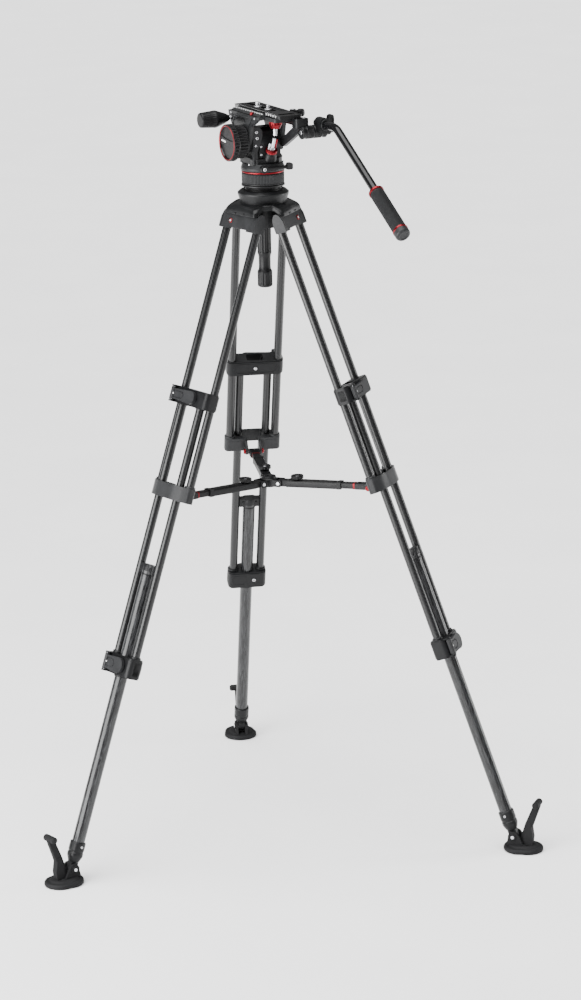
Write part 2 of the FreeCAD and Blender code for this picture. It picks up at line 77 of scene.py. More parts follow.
# ---------------------------------------------------------------- outlines and solids, in millimetres
def rounded(points, radius, n=5, closed=True):
    """Rounds the corners of a polyline; radius is one number or one per corner."""
    out, count = [], len(points)
    for i, p in enumerate(points):
        r = radius[i] if isinstance(radius, (list, tuple)) else radius
        if r <= 0 or (not closed and i in (0, count - 1)):
            out.append(tuple(p))
            continue
        p = Vector(p)
        a, b = Vector(points[i - 1]) - p, Vector(points[(i + 1) % count]) - p
        la, lb = a.length, b.length
        if la < 1e-6 or lb < 1e-6:
            continue
        a, b = a / la, b / lb
        turn = pi - a.angle(b)
        if turn < 0.05:
            out.append(tuple(p))
            continue
        t = min(r * math.tan(turn / 2), 0.48 * la, 0.48 * lb)
        r = t / math.tan(turn / 2)
        centre = p + (a + b).normalized() * (r / cos(turn / 2))
        s, e = p + a * t - centre, p + b * t - centre
        for k in range(n + 1):
            v = s.slerp(e, k / n) * s.length if s.length > 1e-9 else s
            out.append(tuple(centre + v))
    return out


def rrect(u0, u1, v0, v1, r, n=5):
    return rounded([(u0, v0), (u1, v0), (u1, v1), (u0, v1)], r, n)


def disc(u, v, r, n=32, a0=0.0, a1=2 * pi):
    full = abs(a1 - a0 - 2 * pi) < 1e-6
    return [(u + r * cos(a0 + (a1 - a0) * k / n), v + r * sin(a0 + (a1 - a0) * k / n))
        for k in range(n if full else n + 1)]


BASES = {"x": ((0, 1, 0), (0, 0, 1), (1, 0, 0)), "y": ((0, 0, 1), (1, 0, 0), (0, 1, 0)),
    "z": ((1, 0, 0), (0, 1, 0), (0, 0, 1))}


def basis(along):
    """Two cross directions and the axis of something turned along x, y, z, their opposites or a vector."""
    if isinstance(along, str):
        flip = along.startswith("-")
        u, v, w = (Vector(k) for k in BASES[along[-1]])
        return (u, -v, -w) if flip else (u, v, w)
    w = Vector(along).normalized()
    u = w.orthogonal().normalized() if abs(w.x) > 1e-6 else Vector((1, 0, 0))
    return u, w.cross(u), w


def lathe(profile, at=(0, 0, 0), along="z", seg=48, ribs=0, depth=0.0, power=1.0):
    """Turns (radius, height, kind) points about an axis; kind 1 is ribbed and kind 6 is a hexagon.

    A profile that starts and ends on the axis is a solid, any other one closes on itself as a ring."""
    u, v, w = basis(along)
    at = Vector(at)
    ring = profile[0][0] > 1e-6 and profile[-1][0] > 1e-6
    verts, rows, heights = [], [], [0.0]
    for a, b in zip(profile, profile[1:]):
        heights.append(heights[-1] + math.hypot(b[0] - a[0], b[1] - a[1]))
    for p in profile:
        r, h, kind = p[0], p[1], (p[2] if len(p) > 2 else 0)
        if r < 1e-6:
            rows.append([len(verts)] * seg)
            verts.append(at + w * h)
            continue
        row = []
        for k in range(seg):
            t = 2 * pi * k / seg
            q = r
            if kind == 1 and ribs:
                q = r - depth * (0.5 - 0.5 * cos(ribs * t)) ** power
            elif kind == 6:
                q = r * cos(pi / 6) / cos((t % (pi / 3)) - pi / 6)
            row.append(len(verts))
            verts.append(at + u * (q * cos(t)) + v * (q * sin(t)) + w * h)
        rows.append(row)
    faces, uvs = [], []
    pairs = list(zip(range(len(rows)), range(1, len(rows))))
    if ring:
        pairs.append((len(rows) - 1, 0))
    for i, j in pairs:
        rad = max(profile[i][0], profile[j][0])
        hi, hj = heights[i], heights[j] if j else heights[i] + 1
        for k in range(seg):
            m = (k + 1) % seg
            quad = [rows[i][k], rows[i][m], rows[j][m], rows[j][k]]
            uk, um = rad * 2 * pi * k / seg, rad * 2 * pi * (k + 1) / seg
            uv = [(uk, hi), (um, hi), (um, hj), (uk, hj)]
            keep = [n for n in range(4) if quad[n] not in quad[:n]]
            if len(keep) > 2:
                faces.append([quad[n] for n in keep])
                uvs.append([uv[n] for n in keep])
    return verts, faces, uvs


PLANES = {"yz": lambda u, v, w: (w, u, v), "xz": lambda u, v, w: (u, w, v), "xy": lambda u, v, w: (u, v, w)}


def slab(points, plane, a, b, holes=()):
    """A flat outline with through holes, extruded from a to b along the third axis."""
    put = PLANES[plane]
    loops = [list(points)] + [list(h) for h in holes]
    tris = tessellate_polygon([[Vector((u, v, 0)) for u, v in loop] for loop in loops])
    flatpts = [p for loop in loops for p in loop]
    n = len(flatpts)
    verts = [Vector(put(u, v, w)) for w in (a, b) for u, v in flatpts]
    faces = [list(t) for t in tris] + [[i + n for i in reversed(t)] for t in tris]
    base = 0
    for loop in loops:
        m = len(loop)
        for i in range(m):
            j = (i + 1) % m
            faces.append([base + i, base + j, base + j + n, base + i + n])
        base += m
    return verts, faces, None


def twins(points, a, b):
    """The same outline across x, extruded between a and b on both sides of the middle."""
    return [slab(points, "yz", *sorted((k * a, k * b))) for k in (-1, 1)]


def block(x0, x1, y0, y1, z0, z1, r=0.0, plane="xy"):
    lim = {"xy": (x0, x1, y0, y1, z0, z1), "xz": (x0, x1, z0, z1, y0, y1),
        "yz": (y0, y1, z0, z1, x0, x1)}[plane]
    return slab(rrect(*lim[:4], r), plane, *lim[4:])


def loft(rings):
    """Joins rings of the same number of points, closed at both ends."""
    n = len(rings[0])
    verts = [Vector(p) for ring in rings for p in ring]
    faces = [list(range(n))[::-1], [(len(rings) - 1) * n + i for i in range(n)]]
    for k in range(len(rings) - 1):
        for i in range(n):
            j = (i + 1) % n
            faces.append([k * n + i, k * n + j, (k + 1) * n + j, (k + 1) * n + i])
    return verts, faces, None


def sweep(path, r, seg=24):
    """A round bar along a path."""
    path = [Vector(p) for p in path]
    rings, u = [], None
    for i, p in enumerate(path):
        d = (path[min(i + 1, len(path) - 1)] - path[max(i - 1, 0)]).normalized()
        u = d.orthogonal().normalized() if u is None else (u - d * u.dot(d)).normalized()
        v = d.cross(u)
        rings.append([p + u * (r * cos(2 * pi * k / seg)) +
            v * (r * sin(2 * pi * k / seg)) for k in range(seg)])
    return loft(rings)


def bar(path, width, height, lift=(0, 0, 1)):
    """A bar of rounded rectangular section along a path, with a width and a height at every point."""
    path = [Vector(p) for p in path]
    side = Vector(lift)
    rings = []
    for i, p in enumerate(path):
        d = (path[min(i + 1, len(path) - 1)] - path[max(i - 1, 0)]).normalized()
        v = (side - d * side.dot(d)).normalized()
        u = d.cross(v)
        w, h = width[i], height[i]
        rings.append([p + u * a + v * b for a, b in rrect(-w / 2, w / 2, -h / 2, h / 2, min(w, h) * 0.3, 4)])
    return loft(rings)


def screw(at, along, r, head=2.0):
    """Socket cap screw standing on a surface."""
    k = r * 0.55
    return lathe([(0, head - 1.3), (k, head - 1.3, 6), (k, head, 6), (r - 0.5, head), (r, head - 0.5),
        (r, -1), (0, -1)], at, along, 36)


def turned(profile, radius, n=4):
    """A profile from axis to axis with its corners rounded."""
    return rounded(profile, radius, n, closed=False)


def spun(points, soft, at=(0, 0, 0), along="z", seg=48, bore=0):
    """Turned from (radius, height) points with flat ends and softened corners; a ring when it has a bore."""
    return lathe(turned([(bore, points[0][1])] + points + [(bore, points[-1][1])], soft), at, along, seg)


def rod(r, a, b, *more, **kind):
    """A round bar from a to b along an axis, or a ring when it has a bore."""
    return spun([(r, a), (r, b)], *more, **kind)


def prism(points, radius, n, plane, a, b, holes=()):
    """An outline with rounded corners, extruded from a to b."""
    return slab(rounded(points, radius, n), plane, a, b, holes)


EDGE_ANGLE = math.radians(38)


def piece(name, shapes, place, body, finish, bevel=0.5, segments=2, hides=()):
    """Makes one object out of solids in a local frame, rides it on its body and gives it the material of its
    finish.
    """
    slot, mat = finish
    mesh = bpy.data.meshes.new(name)
    bm = bmesh.new()
    layer = bm.loops.layers.uv.new("uv")
    for verts, faces, uvs in shapes:
        made = [bm.verts.new(place @ (Vector(v) * MM)) for v in verts]
        for i, f in enumerate(faces):
            face = bm.faces.new([made[k] for k in f])
            face.smooth = True
            if uvs:
                for loop, uv in zip(face.loops, uvs[i]):
                    loop[layer].uv = uv
    bmesh.ops.recalc_face_normals(bm, faces=bm.faces)
    bm.to_mesh(mesh)
    bm.free()
    mesh.set_sharp_from_angle(angle=EDGE_ANGLE)
    mesh.materials.append(mat)
    obj = bpy.data.objects.new(name, mesh)
    bpy.context.scene.collection.objects.link(obj)
    if bevel > 0:
        m = obj.modifiers.new("edges", "BEVEL")
        m.width, m.segments, m.limit_method = bevel * MM, segments, "ANGLE"
        m.angle_limit = EDGE_ANGLE
        m.harden_normals = True
        m.use_clamp_overlap = True
        m.miter_outer = "MITER_ARC"
    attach(obj, body)
    if hides:
        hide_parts(*hides)


# ---------------------------------------------------------------- procedural finishes
class Nodes:
    """Small helper that builds one node-based finish."""

    def __init__(self, name):
        self.mat = bpy.data.materials.new(name)
        self.mat.use_nodes = True
        self.tree = self.mat.node_tree
        self.shader = self.tree.nodes["Principled BSDF"]

    def add(self, kind, inputs=None, **props):
        node = self.tree.nodes.new(kind)
        for key, value in props.items():
            setattr(node, key, value)
        for key, value in (inputs or {}).items():
            self.put(node.inputs[key], value)
        return node

    def put(self, socket, value):
        if isinstance(value, bpy.types.NodeSocket):
            self.tree.links.new(value, socket)
        else:
            socket.default_value = value

    def mapped(self, coords, scale, rotation=(0, 0, 0)):
        return self.add("ShaderNodeMapping", {"Vector": coords, "Scale": scale,
            "Rotation": rotation}).outputs[0]

    def coords(self, scale=(1, 1, 1), rotation=(0, 0, 0)):
        return self.mapped(self.add("ShaderNodeTexCoord").outputs["Object"], scale, rotation)

    def noise(self, coords, scale, detail=3.0, rough=0.55, distortion=0.0):
        return self.add("ShaderNodeTexNoise", {"Vector": coords, "Scale": scale, "Detail": detail,
            "Roughness": rough, "Distortion": distortion}).outputs["Fac"]

    def math(self, op, a, b=0.0):
        node = self.add("ShaderNodeMath", operation=op)
        self.put(node.inputs[0], a)
        self.put(node.inputs[1], b)
        return node.outputs[0]

    def span(self, value, a, b, lo=0.3, hi=0.7):
        return self.add("ShaderNodeMapRange", {"Value": value, "From Min": lo, "From Max": hi, "To Min": a,
            "To Max": b}).outputs[0]

    def blend(self, fac, a, b):
        node = self.add("ShaderNodeMix", data_type="RGBA")
        self.put(node.inputs["Factor"], fac)
        self.put(node.inputs[6], (*a, 1.0) if isinstance(a, tuple) else a)
        self.put(node.inputs[7], (*b, 1.0) if isinstance(b, tuple) else b)
        return node.outputs[2]

    def bump(self, height, strength, distance):
        return self.add("ShaderNodeBump", {"Height": height, "Strength": strength,
            "Distance": distance}).outputs[0]

    def shade(self, **inputs):
        for key, value in inputs.items():
            self.put(self.shader.inputs[key.replace("_", " ")], value)
        return self.mat


def shift(color, k):
    return tuple(min(1.0, c * k) for c in color)


def coated(name, color, rough, metallic=0.0, grain=900.0, relief=0.25, coat=0.0, wear=0.25):
    """Powder coat or moulded plastic: fine grain relief, uneven sheen and faint rubbed patches."""
    n = Nodes(name)
    where = n.coords()
    fine, broad = n.noise(where, grain, 2.0, 0.6), n.noise(where, 24.0, 4.0, 0.6, 0.4)
    streak = n.noise(n.coords(scale=(1, 7, 3), rotation=(0.4, 0.2, 0.9)), 160.0, 3.0, 0.7)
    rubbed = n.span(streak, 0.0, wear, 0.58, 0.8)
    base = n.blend(n.span(broad, 0.0, 1.0), shift(color, 0.78), shift(color, 1.22))
    base = n.blend(rubbed, base, shift(color, 2.2))
    sheen = n.math("ADD", n.span(broad, rough - 0.07, rough + 0.08), n.span(fine, -0.05, 0.05))
    return n.shade(Base_Color=base, Roughness=sheen, Metallic=metallic, Coat_Weight=coat, Coat_Roughness=0.2,
        Specular_IOR_Level=0.2, Normal=n.bump(fine, relief, 0.0004))


def brushed(name, color, rough):
    n = Nodes(name)
    line = n.noise(n.coords(scale=(1, 1, 22)), 260.0, 4.0, 0.7)
    spot = n.noise(n.coords(), 60.0, 3.0)
    base = n.blend(n.span(line, 0.0, 1.0), shift(color, 0.75), shift(color, 1.15))
    return n.shade(Base_Color=base, Metallic=1.0, Roughness=n.span(spot, rough - 0.08, rough + 0.12),
        Normal=n.bump(line, 0.15, 0.0003))


def anodised(name, color):
    n = Nodes(name)
    where = n.coords()
    fine, broad = n.noise(where, 1400.0, 2.0), n.noise(where, 45.0, 3.0)
    base = n.blend(n.span(broad, 0.0, 1.0), shift(color, 0.8), shift(color, 1.15))
    return n.shade(Base_Color=base, Metallic=0.75, Roughness=n.span(broad, 0.24, 0.42),
        Normal=n.bump(fine, 0.12, 0.0002))


def woven(name, cell, dark, light):
    """Twill carbon cloth under clear resin, laid along the tube with the uv map in millimetres."""
    n = Nodes(name)
    uv = n.add("ShaderNodeTexCoord").outputs["UV"]
    split = n.add("ShaderNodeSeparateXYZ", {"Vector": uv})
    a = n.math("FLOOR", n.math("DIVIDE", split.outputs[0], cell))
    b = n.math("FLOOR", n.math("DIVIDE", split.outputs[1], cell))
    twill = n.math("LESS_THAN", n.math("FRACT", n.math("DIVIDE", n.math("ADD", a, b), 4.0)), 0.5)
    fibre_a = n.noise(n.mapped(uv, (14, 1.2, 1)), 1.0, 2.0)
    fibre_b = n.noise(n.mapped(uv, (1.2, 14, 1)), 1.0, 2.0)
    fibre = n.math("ADD", n.math("MULTIPLY", twill, fibre_a),
        n.math("MULTIPLY", n.math("SUBTRACT", 1.0, twill), fibre_b))
    drift = n.noise(n.mapped(uv, (0.05, 0.006, 1)), 1.0, 3.0)
    tone = n.math("ADD", n.math("MULTIPLY", twill, 0.45), n.math("MULTIPLY", fibre, 0.55))
    base = n.blend(tone, dark, light)
    base = n.blend(n.span(drift, 0.0, 0.35), base, shift(dark, 0.6))
    return n.shade(Base_Color=base, Roughness=n.span(tone, 0.24, 0.42, 0.0, 1.0), Coat_Weight=0.3,
        Coat_Roughness=0.12, Specular_IOR_Level=0.3, Normal=n.bump(tone, 0.3, 0.0003))


def streaked(name, dark, light):
    """Wrapped carbon of the thick lower tubes: long wavy streaks that wind round the tube."""
    n = Nodes(name)
    uv = n.add("ShaderNodeTexCoord").outputs["UV"]
    wave = n.noise(n.mapped(uv, (0.34, 0.022, 1), (0, 0, 0.12)), 1.0, 5.0, 0.62, 1.6)
    hair = n.noise(n.mapped(uv, (3.2, 0.05, 1), (0, 0, 0.12)), 1.0, 3.0, 0.7, 0.5)
    tone = n.math("ADD", n.math("MULTIPLY", n.span(wave, 0.0, 1.0, 0.47, 0.60), 0.78),
        n.math("MULTIPLY", hair, 0.22))
    return n.shade(Base_Color=n.blend(tone, dark, light), Roughness=n.span(tone, 0.26, 0.36, 0.0, 1.0),
        Coat_Weight=0.3, Coat_Roughness=0.1, Specular_IOR_Level=0.3, Normal=n.bump(tone, 0.10, 0.0002))


def rubbery(name, color, grain=500.0):
    n = Nodes(name)
    where = n.coords()
    fine, broad = n.noise(where, grain, 4.0, 0.7), n.noise(where, 18.0, 3.0)
    dust = n.span(n.noise(where, 55.0, 5.0, 0.7), 0.0, 0.35, 0.55, 0.75)
    base = n.blend(dust, n.blend(n.span(broad, 0.0, 1.0), shift(color, 0.8),
        shift(color, 1.25)), shift(color, 2.0))
    return n.shade(Base_Color=base, Roughness=n.span(broad, 0.62, 0.82), Specular_IOR_Level=0.2,
        Normal=n.bump(fine, 0.35, 0.0005))


CAST = coated("casting_powder", (0.0050, 0.0052, 0.0057), 0.36, 0.0, 1100.0, 0.22, wear=0.2)
PANEL = coated("casting_charcoal", (0.0165, 0.0169, 0.0178), 0.37, 0.1, 1300.0, 0.16, wear=0.2)
PLASTIC = coated("moulded_black", (0.0045, 0.0045, 0.0050), 0.38, 0.0, 1600.0, 0.2, wear=0.15)
GREY = coated("moulded_grey", (0.0145, 0.0149, 0.0158), 0.42, 0.0, 1400.0, 0.2, wear=0.2)
PLATE = coated("plate_anodised_black", (0.0055, 0.0055, 0.0060), 0.32, 0.2, 1800.0, 0.14, wear=0.3)
CLOTH = woven("carbon_twill", 2.2, (0.0024, 0.0024, 0.0027), (0.0085, 0.0088, 0.0094))
STREAK = streaked("carbon_streak", (0.0018, 0.0018, 0.0020), (0.034, 0.035, 0.037))
RED = anodised("anodised_red", (0.17, 0.003, 0.008))
STEEL = brushed("steel_brushed", (0.62, 0.62, 0.64), 0.30)
RUBBER = rubbery("foot_rubber", (0.0055, 0.0055, 0.0060))
GRIP = rubbery("grip_rubber", (0.0120, 0.0124, 0.0132), 900.0)
GLOSS = coated("bar_gloss_black", (0.0030, 0.0030, 0.0034), 0.14, 0.0, 260.0, 0.03, coat=0.15, wear=0.1)
MARK = coated("mark_white", (0.62, 0.62, 0.62), 0.55, 0.0, 2000.0, 0.1, wear=0.0)

# finishes: pairs of a slot name and a material
CASTING = ("casting", CAST)
CHARCOAL = ("casting", PANEL)
BLACK = ("black_plastic", PLASTIC)
DARK_GREY = ("black_plastic", GREY)
ANODISED = ("red", RED)
METAL = ("steel", STEEL)
WHITE = ("steel", MARK)
SATIN = ("casting", PLASTIC)
SOFT = ("rubber", RUBBER)


# ---------------------------------------------------------------- bowl, canopy and half ball
# canopy: a shoulder face's distance from the middle, its widest reach, where it leaves the bowl, and its lift
# between the legs
FACE, FLARE, ROOT, LIFT = 62.4, 77, 46, 12


def spider_shapes():
    """Bowl with its rim, and the canopy that flares over the shoulders and lifts between the legs."""
    bowl = turned([(37.8, 1331), (37.8, 1334.5), (41, 1337), (45.5, 1336.4), (51.3, 1331.6), (51.3, 1328.5),
        (49.3, 1322), (47, 1313), (46, 1306), (40, 1300), (38, 1263), (33.5, 1263), (33.5, 1300)], 1.2, 3)
    shapes = [lathe(bowl, seg=96)]
    line = rounded([(45, 1313), (52, 1310.8), (62, 1309.2), (70, 1305.8), (75.8, 1299.4), (77.8, 1291.8),
        (76.4, 1291), (74, 1292.4), (69, 1299), (58, 1303.4), (44, 1304.4)],
        [1, 8, 14, 14, 8, 1, 1, 4, 8, 8, 1], 5, closed=False)
    verts, faces, _ = lathe(line, seg=240)
    legs = [math.atan2(LEG[k].col[3].y - PAN.y, LEG[k].col[3].x) for k in LEGS]
    out = []
    for v in verts:
        r, t = math.hypot(v.x, v.y), math.atan2(v.y, v.x)
        gap = min(abs((t - a + pi) % (2 * pi) - pi) for a in legs)
        far = max(0, (r - ROOT) / 32)
        edge = min(FACE / cos(min(gap, 0.9)), FLARE)
        w = max(0, min(1, (gap - 0.66) / 0.26))
        w = w * w * (3 - 2 * w)
        k = 1 + far * (edge / 78 - 1) - 0.22 * w * far
        out.append(Vector((v.x * k, v.y * k, v.z + LIFT * w * far * far)))
    shapes.append((out, faces, None))
    return shapes


WORLD = Matrix.Translation(PAN)
piece("bowl_and_canopy", spider_shapes(), WORLD, "spider", CASTING, 0, hides=["spider"])
for leg in LEGS:
    lug = rounded([(34, 1292), (34, 1274), (46, 1276), (56.6, 1277.6), (56.6, 1289),
        (46, 1291)], [1, 1, 4, 5, 5, 2], 8)
    rib = rounded([(44, 1303), (44, 1290), (62, 1291), (64, 1295)], 1.5)
    piece(leg + "_hinge_lug", twins(lug, 9.5, 17.9) + twins(rib, 12, 16) +
        [block(-10, 10, 33, 50, 1276, 1291, 2)], SPOKE[leg], "spider", CASTING, 0.8)

arc = [(37.4 * cos(a), 1335 + 37.4 * sin(a)) for a in (-pi / 2 + pi / 2 * k / 14 for k in range(15))]
ball = [(0, arc[0][1])] + arc[1:] + [(36.5, 1338), (34, 1343), (40, 1343.2), (43.4, 1344.6), (43.4, 1347.4),
    (42.8, 1348), (30, 1348), (30, 1371), (0, 1371)]
piece("levelling_half_ball", [lathe(rounded(ball, [0.5] * len(ball), 2, closed=False), seg=96)], WORLD,
    "half_ball", SATIN, 0, hides=["half_ball"])

# tie-down handle under the bowl
handle = turned([(0, 1138), (11, 1138), (14.4, 1140), (15, 1143)], 1.5) + [(15, 1144, 1), (15, 1168, 1),
    (15, 1169), (14, 1172), (12.4, 1174), (12, 1180), (12, 1198), (12.6, 1203), (14, 1206), (14, 1209),
    (14, 1210, 1), (14, 1262, 1), (14, 1264), (14, 1268), (13, 1270), (13, 1272),
    (14, 1274), (14, 1283), (0, 1283)]
dish = turned([(0, 1284), (17.5, 1284), (19, 1285.5), (19, 1290.5), (17, 1292.2), (0, 1289.3)], 1)
piece("tie_down_handle", [lathe(handle, seg=120, ribs=12, depth=1.3, power=1.6), lathe(dish, seg=64),
    lathe([(0, 1281), (4.9, 1281), (4.9, 1316), (4, 1317), (0, 1317)])], WORLD, "tie_down_knob", BLACK, 0,
    hides=["tie_down_knob"])


# ---------------------------------------------------------------- one leg
# half spacing of the outer and inner tubes, how far out they lie, and the radii of the tubes and of the thick
# lower tube
OUT, INN, OY, IY, TR, LR = 47.5, 29, -4, 6.4, 8.5, 13


def shoulder_shapes():
    """Face plate swept out into an end flange on each side, tube sockets behind it, and the hinge ears."""
    outer = rounded([(-56, -26.4), (-30, -23), (30, -23), (56, -26.4), (54.6, -4), (46, 5.4), (-46, 5.4),
        (-54.6, -4)], [1.5, 30, 30, 1.5, 5, 5, 5, 5], 5)
    shapes = [slab(outer, "xz", 3.4, 6.8), block(-45, 45, -5.8, 6, -22.5, -14.5, 1.5, "yz")]
    for k in (-1, 1):
        # the face curves outward as it runs into the flange, further out at the bottom than at the top
        rows = []
        for j in range(13):
            z = -26 + 31 * j / 12
            reach = 26 + 18 * (j / 12) ** 2
            rise = 3.4 * (1 - 0.35 * j / 12)
            edge = [(k * (reach + (55 - reach) * i / 14), 6.6 + rise * (i / 14) ** 2.4,
                z + (0.6 if i == 0 and j == 0 else 0)) for i in range(15)]
            rows.append([(k * 55, 4.6, z), (k * reach, 4.6, z)] + edge)
        shapes.append(loft(rows))
        shapes.append(spun([(9.2, -24.8), (9.6, -24.2), (9.6, -8), (9, -5)], 0.4, (k * OUT, OY, 0),
            seg=56, bore=TR + 0.1))
    flange = rounded([(10, -26), (9.8, -4), (6, 8), (1, 13), (-5, 13), (-11, 4), (-13, -8), (-13, -24.4)],
        [1.5, 8, 7, 4, 4, 5, 4, 2])
    ear = rounded([(4, -20), (-7, -20), (-7.8, 0), (-4.5, 4.4), (0, 4.4), (4, 0)], [1, 1, 5, 4, 4, 3])
    return shapes + twins(flange, 52.4, 57) + twins(ear, 18.7, 29.8)


def leg_pieces(leg):
    p, up, mid, low = LEG[leg], leg + "_upper_stage", leg + "_middle_stage", leg + "_lower_stage"
    piece(leg + "_shoulder_casting", shoulder_shapes(), p, up, CHARCOAL, 0.9, 3, hides=[leg + "_shoulder"])
    badge = turned([(0, 5.6), (5.2, 5.6), (5.2, 7.4), (4.6, 7.9), (0, 7.9)], 0.4)
    dot = turned([(0, 7.6), (2, 7.6), (2, 8.1), (0, 8.1)], 0.2)
    at = (28 if leg != "right" else -28, 0, -10)
    piece(leg + "_shoulder_badge", [lathe(badge, at, "y")], p, up, ANODISED, 0)
    piece(leg + "_shoulder_badge_centre", [lathe(dot, at, "y", 32)], p, up, WHITE, 0)
    piece(leg + "_hinge_pin", [spun([(4, -32.4), (5, -31.4), (5, -29.8), (4.4, -29.8), (4.4, 29.8), (5, 29.8),
        (5, 31.4), (4, 32.4)], 0.3, (0, 0, 0), "x")], p, up, ("steel", PLASTIC), 0)

    # pairs of carbon tubes
    for name, body, x, y, top, bottom, node in (("upper", up, OUT, OY, 17, 572, "outer_tubes"),
            ("middle", mid, INN, IY, 360, 936, "inner_tubes")):
        tubes = [lathe([(TR - 0.05, -bottom), (TR - 0.05, -top), (TR - 1.4, -top), (TR - 1.4, -bottom)],
            (k * x, y, 0), seg=64) for k in (-1, 1)]
        piece(leg + "_" + name + "_carbon_tubes", tubes, p, body, ("carbon", CLOTH), 0,
            hides=[leg + "_" + node])

    middle_collar_pieces(leg, p, up)
    clamp_pieces(leg, p, mid, "upper", z_top=-354, z_bot=-388, half=59, y0=-15, face=21, pin=44, reach=72)
    clamp_pieces(leg, p, mid, "lower", z_top=-902, z_bot=-942, half=41, y0=-11.1, face=24.4, pin=31, reach=56)
    lower_leg_pieces(leg, p, low)
    foot_pieces(leg, FOOT[leg], leg + "_foot")


def band(half, y0, y1, z0, z1, r, holes):
    """Clamp band: a rounded casting with slightly drawn-in edges and a raised middle."""
    step = 1.3
    core = rrect(-half, half, y0, y1, r, 8)
    lip = rrect(-half + step, half - step, y0 + step, y1 - step, r - step, 8)
    return [slab(core, "xy", z0 + 2.6, z1 - 2.6, holes), slab(lip, "xy", z0, z0 + 3, holes),
        slab(lip, "xy", z1 - 3, z1, holes)]


COLLAR_PIVOT = (-30, -568)


def middle_collar_pieces(leg, p, body):
    """Collar that ties the outer tubes together and carries the spreader arm."""
    t0, t1 = -546, -576
    # one C-shaped outline: the notch for the spreader arm runs into the opening round the inner tubes
    half = [(11.6, -15), (58.6, -15), (58.6, 3.4), (42, 15.4), (22, 21.8)]
    hollow = [(20, IY + 13.5), (20, IY + 9.2), (38.2, IY + 9.2), (38.2, IY - 9.2), (20, IY - 9.2),
        (20, IY - 13.5), (11.6, IY - 13.5)]
    mirrored = [(-u, v) for u, v in reversed(half)]
    inside = [(-u, v) for u, v in reversed(hollow)]
    outline = rounded(half + mirrored + inside + hollow, [0.6, 11, 6, 40, 60, 60, 40, 6, 11, 0.6, 0.6, 1, 1,
        9, 9, 1, 1, 1, 1, 9, 9, 1, 1, 0.6], 8)
    shapes = [slab(outline, "xy", t1, t0)]
    for k in (-1, 1):
        shapes.append(spun([(10.8, t0 - 2), (10.8, t0 + 3), (10, t0 + 4.2)], 0.5, (k * OUT, OY, 0),
            seg=56, bore=TR + 0.1))
        panel = rrect(min(k * 23, k * 52), max(k * 23, k * 52), t1 + 6, t0 - 6, 4)
        shapes.append(slab(panel, "xz", -15.5, -14.8))
    ear = [(-13, -550), (-13, -576), (-26, -576.5), (-36, -573), (-37.6, -566), (-33, -559)]
    shapes += twins(rounded(ear, [2, 2, 6, 6, 6, 8], 6), 11.5, 16.9)
    piece(leg + "_collar_band", shapes, p, body, CHARCOAL, 0.9, 3, hides=[leg + "_middle_collar"])
    button = turned([(0, 16.6), (5.4, 16.6), (5.4, 20), (4.6, 21), (2.4, 21), (2, 20.4), (0, 20.4)], 0.4)
    piece(leg + "_collar_buttons", [lathe(button, (0, *COLLAR_PIVOT), k)
        for k in ("x", "-x")], p, body, ANODISED, 0)


